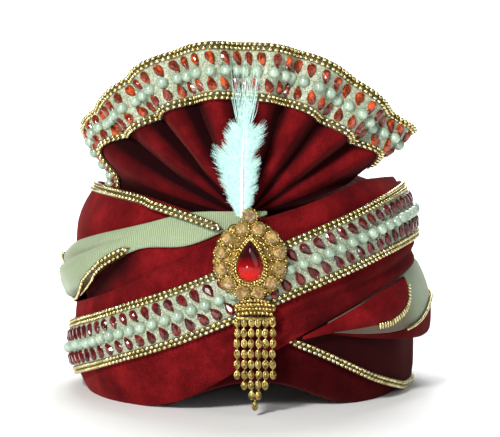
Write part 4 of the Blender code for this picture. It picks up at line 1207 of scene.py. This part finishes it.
def pleat(flat_angle):
    """1 on a pleat's ridge, -1 in its valley; ridges are round and valleys narrower."""
    k = max(i for i in range(len(PLEAT_RIDGES) - 1) if PLEAT_RIDGES[i] <= flat_angle or i == 0)
    share = (flat_angle - PLEAT_RIDGES[k]) / (PLEAT_RIDGES[k + 1] - PLEAT_RIDGES[k])
    wave = (math.cos(2 * math.pi * share) + 1) / 2
    return 2 * wave**0.62 - 1


def fan_point(u, radius_share, lift):
    angle = fan_angle(u, radius_share)
    outline = FAN_RADIUS * curve(FAN_OUTLINE, "angle", angle, "reach")
    radius = blend(FAN_ROOT, outline, radius_share)
    point, out = bent_fan(angle, radius)
    above_root = (point.z - fan_base()) / FAN_RADIUS
    fade = smooth((radius / FAN_RADIUS - 0.1) / 0.36) * smooth((above_root - 0.065) / 0.32)
    fade *= 1 - 0.55 * smooth((radius_share - 0.62) / 0.3) * smooth((abs(angle) - 8) / 30)
    soft = FAN_UNEVEN * noise.noise(Vector((angle * 0.09, radius * 45, 2.0)))
    return point + out * (lift + PLEAT_DEPTH * FAN_FULLNESS * fade * pleat(angle) + soft * fade)


def fan_lace_inner(u):
    outline = FAN_RADIUS * curve(FAN_OUTLINE, "angle", fan_angle(u, 1), "reach")
    return 1 - LACE_WIDTH / (outline - FAN_ROOT)


def fan_lace_surface(u, offset):
    """A point of the fan's lace; the offset is from its middle, outwards positive."""
    share = (offset + LACE_WIDTH / 2) / LACE_WIDTH
    lift = FAN_THICKNESS / 2 + LAYER_GAP + LACE_THICKNESS * 0.7
    return fan_point(u, blend(fan_lace_inner(u), 1, share), lift)


def make_fan():
    def fan_shade(u, v):
        """Painted shade: valleys deep in shade, a ridge's right side darker than its left, and more shade
        near the root and over the fan's left part.
        """
        angle = fan_angle(u, v)
        left = smooth((-angle - 5) / 40)
        valley = smooth((blend(0.55, 0.85, left) - pleat(angle)) / 1.0)
        lee = 0.4 * smooth((pleat(angle - 2) - pleat(angle + 2)) * 1.2)
        shaded = blend(0.93, 0.97, left) * valley + lee * smooth(v / 0.25) + 0.45 * (1 - smooth(v / 0.25))
        return blend(shaded, 1, 0.04 + 0.38 * left)

    cloth(
        "fan_velvet", 300, 40, lambda u, v: fan_point(u, v, 0), FAN_THICKNESS, VELVET, ("fan",),
        (0.4, 0.11), 0, fan_shade,
    )
    half = LACE_WIDTH / 2
    cloth(
        "fan_lace_net", 300, 8, lambda u, v: fan_lace_surface(u, blend(-half, half, v)), NET_CLOTH, NET,
        ("fan_lace",), (0.4, LACE_WIDTH), 0,
    )
    lace_jewels("fan_lace", fan_lace_surface, 0.004, 0.996, 23, FIRE_RED)


def facing(side, up, depth):
    """Places a shape whose own +Z faces the front and whose own +Y points up."""
    return Matrix.Translation((side, depth, up)) @ Matrix.Rotation(math.pi / 2, 4, "X")


def joined(shapes):
    """One (points, faces) from several."""
    points, faces = [], []
    for some_points, some_faces in shapes:
        base = len(points)
        points.extend(some_points)
        faces.extend(tuple(base + k for k in face) for face in some_faces)
    return points, faces


def placed(shape, matrix):
    points, faces = shape
    return [matrix @ point for point in points], faces


def sized(matrix, size):
    return matrix @ Matrix.Diagonal((size, size, size, 1))


GRANULE = bead_shape(1.0, 9, 5)
BROOCH_X = MIDDLE.x + BROOCH_SIDE_OFFSET
FACE_GRAINS = 150
GRAINS_APART = 0.00135

# Turned and raised outlines: how far each ring is grown, or its share of the radius, and its height
PLATE_PROFILE = ((0.0, 0.0), (0.0012, 0.0006), (0.0012, 0.0013), (0.0, 0.0019), (-0.006, 0.0026))
CUP_PROFILE = ((0.86, 0.0), (1.0, 0.0010), (0.93, 0.0019), (0.97, 0.0026), (0.88, 0.0030), (0.78, 0.0022))
WALL_PROFILE = ((0.0034, 0.0018), (0.0030, 0.0036), (0.0016, 0.0048), (0.0002, 0.0052), (-0.0010, 0.0040))
LINK_PROFILE = (
    (-0.0007, -0.0011), (0, -0.0003), (0, 0.0005), (-0.0003, 0.0009), (-0.0006, 0.0006),
    (-0.0009, 0.0011), (-0.0014, 0.0014),
)
BAR_PROFILE = ((-0.0003, -0.0024), (0, -0.0016), (0, -0.0008), (-0.0003, 0))

# Rows of grains on the tassel's head, from the top
HEAD_GRAINS = named_rows(
    "up wide size off",
    (0.0043, 0.70, 0.0012, 0.0008), (0.0019, 0.96, 0.00135, 0.0002),
    (-0.0008, 0.98, 0.0012, 0.0002), (-0.0034, 0.86, 0.00135, 0.0008),
)


def ring_oval(turn, grow, lobes=0.0):
    wide = RING_HALF_WIDTH + grow + lobes * math.cos(RING_STONES * turn)
    tall = RING_HALF_HEIGHT + grow + lobes * math.cos(RING_STONES * turn)
    return Vector((wide * math.sin(turn), tall * math.cos(turn), 0))


def pear_share(point, grow):
    """How far a point of the brooch's face lies out from the middle stone's outline, 1 on it."""
    ring = drop_ring(CENTRE_HALF_WIDTH, CENTRE_LENGTH, grow, 0, 48)
    direction = math.atan2(point.x, point.y)
    nearest = min(ring, key=lambda p: abs(math.remainder(math.atan2(p.x, p.y) - direction, 2 * math.pi)))
    return point.xy.length / max(1e-6, nearest.xy.length)


def face_grains(rng):
    """Spots of the gold grains that fill the face between the ring and the middle stone."""
    grains = []
    while len(grains) < FACE_GRAINS:
        turn, share = rng.uniform(0, 2 * math.pi), rng.uniform(0, 1) ** 0.5
        spot = ring_oval(turn, 0.0005) * share
        apart = min(((spot - other).length for other in grains), default=1.0)
        if apart > GRAINS_APART and pear_share(spot, 0.0026) > 1.0:
            grains.append(spot)
        elif rng.random() < 0.002:
            break
    return grains


def tassel_head(head, rng):
    """The tassel's head: its plate, and where its grains sit."""
    half_wide, half_tall = TASSEL_HEAD_WIDTH / 2, TASSEL_HEAD_HEIGHT / 2
    top = TASSEL_HEAD_THICKNESS * 0.7
    turns = [-2 * math.pi * k / 40 for k in range(40)]
    rings = []
    for grow, height in ((0, 0), (0, TASSEL_HEAD_THICKNESS * 0.5), (-0.001, top)):
        wide, tall = half_wide + grow, half_tall + grow
        rings.append([
            Vector((wide * math.sin(t) * (1 - 0.1 * math.cos(t)), tall * math.cos(t), height)) for t in turns
        ])
    grains = []
    for row in HEAD_GRAINS:
        count = round(2 * half_wide * row["wide"] / (row["size"] * 1.75))
        for j in range(count):
            share = (j + 0.5) / count * 2 - 1
            droop = 0.0010 * share * share
            spot = Vector((share * half_wide * row["wide"], row["up"] - droop, top + row["off"]))
            grains.append(sized(head @ Matrix.Translation(spot), row["size"] * rng.uniform(0.9, 1.1)))
    return placed(ringed(rings), head), grains


def domed_pear():
    """The middle stone: a pear outline drawn in towards its point as it rises."""
    apex = Vector((0, -CENTRE_LENGTH * 0.16, 0))
    rings = []
    for k in range(13):
        turn = math.pi / 2 * k / 13
        shrink, rise = math.cos(turn), math.sin(turn)
        ring = drop_ring(CENTRE_HALF_WIDTH, CENTRE_LENGTH, 0, rise * CENTRE_HEIGHT, 44)
        rings.append([Vector((*(apex.xy + (point.xy - apex.xy) * shrink), point.z)) for point in ring])
    return ringed(rings)


def make_brooch():
    low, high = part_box("brooch_setting")
    back = high[1]
    rng = random.Random(31)
    middle = facing(BROOCH_X, BROOCH_HEIGHT, back)
    lobed = []
    for grow, height in PLATE_PROFILE:
        ring = [ring_oval(2 * math.pi * k / 96, CUP_RADIUS * 0.62 + grow, 0.0009) for k in range(96)]
        lobed.append([Vector((p.x, p.y, height)) for p in ring])
    plate = placed(ringed([ring[::-1] for ring in lobed]), middle)
    cup_shape = ringed([circle(CUP_RADIUS * share, height, 20) for share, height in CUP_PROFILE])
    stone_shape = cut_round(CUP_RADIUS * 0.84, 0.0034, 10)
    metalwork, granules, stones = [plate], [], []
    for k in range(1, RING_STONES + 1):
        stone_low, stone_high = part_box(f"ring_stone_{k:02d}")
        seat = facing((stone_low[0] + stone_high[0]) / 2, (stone_low[2] + stone_high[2]) / 2, back - 0.0014)
        metalwork.append(placed(cup_shape, seat))
        for j in range(16):
            turn = 2 * math.pi * (j + 0.5 * (k % 2)) / 16
            claw = Vector((CUP_RADIUS * 0.93 * math.cos(turn), CUP_RADIUS * 0.93 * math.sin(turn), 0.0026))
            granules.append(sized(seat @ Matrix.Translation(claw), 0.00085 if j % 4 == 0 else 0.00058))
        spin = spun(rng.uniform(0, 1)) @ spun(rng.uniform(-0.12, 0.02), "X")
        stones.append(placed(stone_shape, seat @ raised(0.0024) @ spin))
        between = ring_oval(2 * math.pi * k / RING_STONES, CUP_RADIUS * 0.78)
        granules.append(sized(middle @ Matrix.Translation((between.x, between.y, 0.0020)), 0.0013))
    for spot in face_grains(rng):
        size, height = rng.uniform(0.0008, 0.00135), 0.0026 + rng.uniform(0, 0.0008)
        granules.append(sized(middle @ Matrix.Translation((spot.x, spot.y, height)), size))
    for grow, size, height, count in ((0.0012, 0.00105, 0.0052, 38), (0.0028, 0.00115, 0.0042, 44)):
        for point in drop_ring(CENTRE_HALF_WIDTH, CENTRE_LENGTH, grow, height, count):
            granules.append(sized(middle @ Matrix.Translation(point), size * rng.uniform(0.9, 1.12)))
    wall = [drop_ring(CENTRE_HALF_WIDTH, CENTRE_LENGTH, grow, height, 48) for grow, height in WALL_PROFILE]
    metalwork.append(placed(ringed(wall), middle))
    # Cup of the clear stone at the top, and the tassel's head
    top_low, top_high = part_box("top_stone")
    top_seat = facing((top_low[0] + top_high[0]) / 2, (top_low[2] + top_high[2]) / 2, back - 0.0004)
    metalwork.append(placed(cup_shape, top_seat))
    for j in range(14):
        turn = 2 * math.pi * j / 14
        rim = Vector((TOP_CUP_RADIUS * math.cos(turn), TOP_CUP_RADIUS * math.sin(turn), 0.0022))
        granules.append(sized(top_seat @ Matrix.Translation(rim), 0.0008))
    head_up = BROOCH_HEIGHT - RING_HALF_HEIGHT - CUP_RADIUS - TASSEL_HEAD_HEIGHT * 0.35
    head = facing(BROOCH_X + TASSEL_SIDE_OFFSET, head_up, back)
    head_plate, head_grains = tassel_head(head, rng)
    metalwork.append(head_plate)
    granules.extend(head_grains)
    add_shape("brooch_metalwork", joined(metalwork), PLATE_GOLD, ("brooch_setting",))
    copies("brooch_granules", GRANULE, granules, BROOCH_GOLD, ())
    names = [f"ring_stone_{k:02d}" for k in range(1, RING_STONES + 1)]
    add_shape("brooch_amber_stones", joined(stones), AMBER, names, flat=True)
    cabochon = placed(domed_pear(), middle @ raised(0.0044))
    add_shape("brooch_cabochon", cabochon, CENTRE_RED, ("centre_stone",))
    clear = placed(cut_round(TOP_CUP_RADIUS * 0.82, 0.0026, 10), top_seat @ raised(0.0022))
    add_shape("brooch_top_stone", clear, TOPAZ, ("top_stone",), flat=True)
    peeking = []
    for side, up, turn in ((-0.0046, -0.0236, 0.3), (0.0150, -0.0222, -0.6)):
        seat = middle @ Matrix.Translation((side, up, 0.0022)) @ spun(turn)
        peeking.append(placed(cut_round(0.0021, 0.0016, 8), seat))
    add_shape("brooch_small_red_stones", joined(peeking), RED, (), flat=True)


def add_shape(name, shape, material, nodes, flat=False):
    points, faces = shape
    mesh = bpy.data.meshes.new(name)
    mesh.from_pydata([tuple(point) for point in points], [], faces)
    if not flat:
        mesh.shade_smooth()
    return add_object(name, mesh, material, nodes)


def strand_beads(k):
    return SHORTEST_STRAND_BEADS + round(1.3 * min(k, STRANDS - 1 - k))


def make_tassel():
    """Strands of linked oval cups, the middle ones longest."""
    low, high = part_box("tassel")
    rng = random.Random(5)
    depth = (low[1] + high[1]) / 2
    x = BROOCH_X + TASSEL_SIDE_OFFSET
    half_wide, half_tall = 0.0021, 0.0030

    def oval_ring(grow, height, sides=12):
        wide, tall = half_wide + grow, half_tall + grow
        turns = [-2 * math.pi * k / sides for k in range(sides)]
        return [Vector((wide * math.sin(t), tall * math.cos(t), height)) for t in turns]

    element = ringed([oval_ring(grow, height) for grow, height in LINK_PROFILE])
    link = ringed([circle(0.0005, -0.0011, 6), circle(0.00062, 0, 6), circle(0.0005, 0.0011, 6)])
    shapes = []
    for k in range(STRANDS):
        side = x + (k - (STRANDS - 1) / 2) * STRAND_PITCH
        for bead in range(strand_beads(k)):
            up = high[2] - 0.0038 - bead * STRAND_BEAD_PITCH
            last = bead == STRAND_TIP
            if last and k >= STRANDS / 2:
                continue
            closing = STRAND_PITCH / 2 if last else 0.0001 * max(0, bead - 5)
            closing *= -1 if k >= STRANDS / 2 else 1
            aside = side + closing + rng.uniform(-0.00025, 0.00025)
            turn = spun(rng.uniform(-0.10, 0.10)) @ spun(rng.uniform(-0.16, 0.16), "Y")
            shapes.append(placed(element, facing(aside, up, depth) @ turn))
            shapes.append(placed(link, Matrix.Translation((aside, depth, up + STRAND_BEAD_PITCH / 2))))
    bar = [oval_bar(x, depth, high[2] + rise, grow) for grow, rise in BAR_PROFILE]
    shapes.append(ringed(bar))
    add_shape("tassel_strands", joined(shapes), OLD_GOLD, ("tassel",))


def oval_bar(x, depth, height, grow):
    """One ring of the bar that the strands hang from."""
    wide, deep = STRAND_PITCH * (STRANDS - 1) / 2 + 0.0017 + grow, 0.0014 + grow
    turns = [2 * math.pi * k / 16 for k in range(16)]
    return [Vector((x + wide * math.cos(t), depth + deep * math.sin(t), height)) for t in turns]


# How far the down reaches to each side of the quill, along the feather
FEATHER_SHAPE = named_rows(
    "along left right",
    (0.00, 0.22, 0.22), (0.08, 0.48, 0.50), (0.17, 0.82, 0.56), (0.28, 1.04, 0.60),
    (0.36, 0.92, 0.58), (0.43, 0.70, 0.80), (0.50, 0.66, 0.74), (0.56, 0.40, 0.42),
)


# The feather's down: the share of the quill it covers, its barbs to each side and the locks they lie in
DOWN_SHARE = 0.57
BARBS = 1500
LOCKS = 17
# The wisps above it, and how far aside they end, as shares of their widest reach
WISPS = 90
WISP_ENDS = (-0.5, -0.35, 0.1, 0.35, 0.55, 0.7)


def make_feather():
    """A soft plume: a quill, down in loose locks on its lower half, and sparse wisps above."""
    rng = random.Random(11)
    low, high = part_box("feather")
    foot, top = low[2], high[2]
    front = MIDDLE.y - FAN_DEPTH - FEATHER_FRONT_OF_FAN
    foot_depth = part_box("brooch_setting")[1][1] + 0.002

    def quill(v):
        sway = FEATHER_SWAY * (v - 0.3) * v
        depth = blend(front, foot_depth, (1 - v) ** 2)
        up = foot + v * (top - foot - FEATHER_LOCK_RISE)
        return Vector((MIDDLE.x + FEATHER_SIDE_OFFSET + sway, depth, up))

    verts, faces = [], []

    def ribbon(path, width, spread):
        """A flat tapering strip along a path; spread is the direction across it."""
        base = len(verts)
        for k, point in enumerate(path):
            half = spread * width * (1 - 0.85 * k / (len(path) - 1))
            verts.append(tuple(point - half))
            verts.append(tuple(point + half))
        for k in range(len(path) - 1):
            a = base + 2 * k
            faces.append((a, a + 1, a + 3, a + 2))

    locks = {side: [rng.uniform(0.72, 1.12) for _ in range(40)] for side in ("left", "right")}
    for side, sign in (("left", -1), ("right", 1)):
        for k in range(BARBS):
            v = DOWN_SHARE * (k + rng.random()) / BARBS
            lock = v / DOWN_SHARE * LOCKS
            reach = FEATHER_HALF_WIDTH * curve(FEATHER_SHAPE, "along", v, side)
            clump = blend(locks[side][int(lock)], locks[side][int(lock) + 1], smooth(lock % 1))
            reach *= clump * rng.uniform(0.62, 1.04)
            lift = math.radians(blend(24, 52, v / DOWN_SHARE) + rng.gauss(0, 5))
            curl = rng.uniform(-0.10, 0.22)
            wave, phase = rng.uniform(0.0002, 0.0011), rng.uniform(0, 6.28)
            out = rng.gauss(0, 0.0011)
            start = quill(v)
            path = []
            for step in range(8):
                t = step / 7
                across = sign * reach * t * math.cos(lift * (1 - 0.3 * t))
                rise = reach * (t * math.sin(lift) + curl * t * t)
                shake = wave * math.sin(phase + 5 * t) * t
                forward = out * t - 0.0012 * math.sin(math.pi * t) + shake
                path.append(start + Vector((across, forward, rise + shake)))
            spread = Vector((-math.sin(lift) * sign, 0.35, math.cos(lift)))
            ribbon(path, rng.uniform(0.00012, 0.00030), spread)
    for k in range(WISPS):
        v = rng.uniform(0.46, 0.62)
        start = quill(v)
        end_up = rng.uniform(0.70, 1.0) * (top - foot) + foot
        aside = rng.choice(WISP_ENDS) * 0.0125 + rng.gauss(0, 0.0012)
        bow = rng.uniform(-0.002, 0.002)
        path = []
        for step in range(12):
            t = step / 11
            height = blend(start.z, end_up, t)
            out = front + (start.y - front) * (1 - t) + rng.gauss(0, 0.00012)
            path.append(Vector((start.x + aside * t**0.8 + bow * math.sin(math.pi * t), out, height)))
        ribbon(path, rng.uniform(0.00012, 0.00026), Vector((1, 0.2, 0)))
    stem = []
    turns = [2 * math.pi * j / 8 for j in range(8)]
    for step in range(15):
        v = 0.60 * step / 14
        radius = blend(0.00125, 0.00035, step / 14)
        middle = quill(v) + Vector((0, -0.0016, 0))
        stem.append([middle + Vector((radius * math.cos(t), radius * math.sin(t), 0)) for t in turns])
    add_shape("feather_stem", ringed(stem), FEATHER_QUILL, ())
    mesh = bpy.data.meshes.new("feather_plume")
    mesh.from_pydata(verts, [], faces)
    add_object("feather_plume", mesh, FEATHER_DOWN, ("feather",))


def carried_over():
    """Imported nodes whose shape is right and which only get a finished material."""
    finishes = {"head_band": LINING, "crown_cap": LINING, "brooch_pin": OLD_GOLD}
    for name, material in finishes.items():
        bpy.data.objects[name].material_slots[0].material = material


def make_stage():
    """A pale floor that sweeps up behind the turban."""
    floor = bpy.data.meshes.new("floor")
    made = bmesh.new()
    profile = [(-2.2, 0.0), (1.2, 0.0), (1.6, 0.06), (1.85, 0.30), (1.95, 0.7), (1.95, 2.6)]
    lines = [[made.verts.new((x, y, z)) for x in (-3.5, 3.5)] for y, z in profile]
    for front, behind in zip(lines, lines[1:]):
        made.faces.new((front[0], front[1], behind[1], behind[0])).smooth = True
    made.to_mesh(floor)
    made.free()
    obj = bpy.data.objects.new("floor", floor)
    bpy.context.scene.collection.objects.link(obj)
    material, tree, shader = node_material("pale_floor")
    grain = noise_node(tree, 6, 2, object_coordinates(tree))
    pale = ramp_node(tree, grain, [(0.3, (0.86, 0.87, 0.87)), (0.7, (0.90, 0.91, 0.91))])
    tree.links.new(pale, shader.inputs["Base Color"])
    settle(shader, {"Roughness": 0.9, "Specular IOR Level": 0.1})
    floor.materials.append(material)
    soft = obj.modifiers.new("sweep", "SUBSURF")
    soft.levels = 2
    soft.render_levels = 2


def area_light(name, place, target, size, power, colour):
    light = bpy.data.lights.new(name, "AREA")
    light.shape = "DISK"
    light.size = size
    light.energy = power
    light.color = colour
    obj = bpy.data.objects.new(name, light)
    obj.location = place
    obj.rotation_euler = (Vector(target) - Vector(place)).to_track_quat("-Z", "Y").to_euler()
    bpy.context.scene.collection.objects.link(obj)


# The photograph's view: 1.1 m away, 3 degrees above the horizon
VIEW_DISTANCE = 1.1
VIEW_RISE = 3.0
VIEW_SCALE = 0.00070
FRAME_WIDTH = 500
SENSOR = 36.0
AIM = Vector((0.0035, 0.0, 0.119))


def make_camera():
    data = bpy.data.cameras.new("camera")
    data.sensor_width = SENSOR
    data.lens = SENSOR * VIEW_DISTANCE / (VIEW_SCALE * FRAME_WIDTH)
    camera = bpy.data.objects.new("camera", data)
    rise = math.radians(VIEW_RISE)
    aim = MIDDLE + AIM
    camera.location = aim + Vector((0, -VIEW_DISTANCE * math.cos(rise), VIEW_DISTANCE * math.sin(rise)))
    camera.rotation_euler = (math.pi / 2 - rise, 0, 0)
    bpy.context.scene.collection.objects.link(camera)
    bpy.context.scene.camera = camera


def make_light():
    world = bpy.data.worlds.new("studio")
    world.use_nodes = True
    settle(world.node_tree.nodes["Background"], {"Color": (0.92, 0.95, 0.97, 1), "Strength": 0.16})
    bpy.context.scene.world = world
    bpy.context.scene.view_settings.view_transform = "Standard"
    target = (0, 0, 0.12)
    area_light("key", (-0.52, -1.18, 0.78), target, 0.26, 21, (1.0, 0.98, 0.95))
    area_light("fill", (0.9, -1.0, 0.45), target, 0.8, 2.5, (0.94, 0.97, 1.0))
    area_light("flash", (-0.34, -1.05, 0.05), target, 0.16, 2.5, (1.0, 1.0, 1.0))
    area_light("back", (0.2, 1.0, 1.1), target, 0.8, 5, (1.0, 1.0, 1.0))
    area_light("sweep_light", (0.0, 0.9, 1.9), (0, 1.8, 0.4), 1.4, 55, (1.0, 1.0, 1.0))


make_wraps()
make_wrap_lace()
make_body()
make_crown()
make_sashes()
make_trims()
make_fan()
make_brooch()
make_tassel()
make_feather()
carried_over()
make_stage()
make_light()
make_camera()
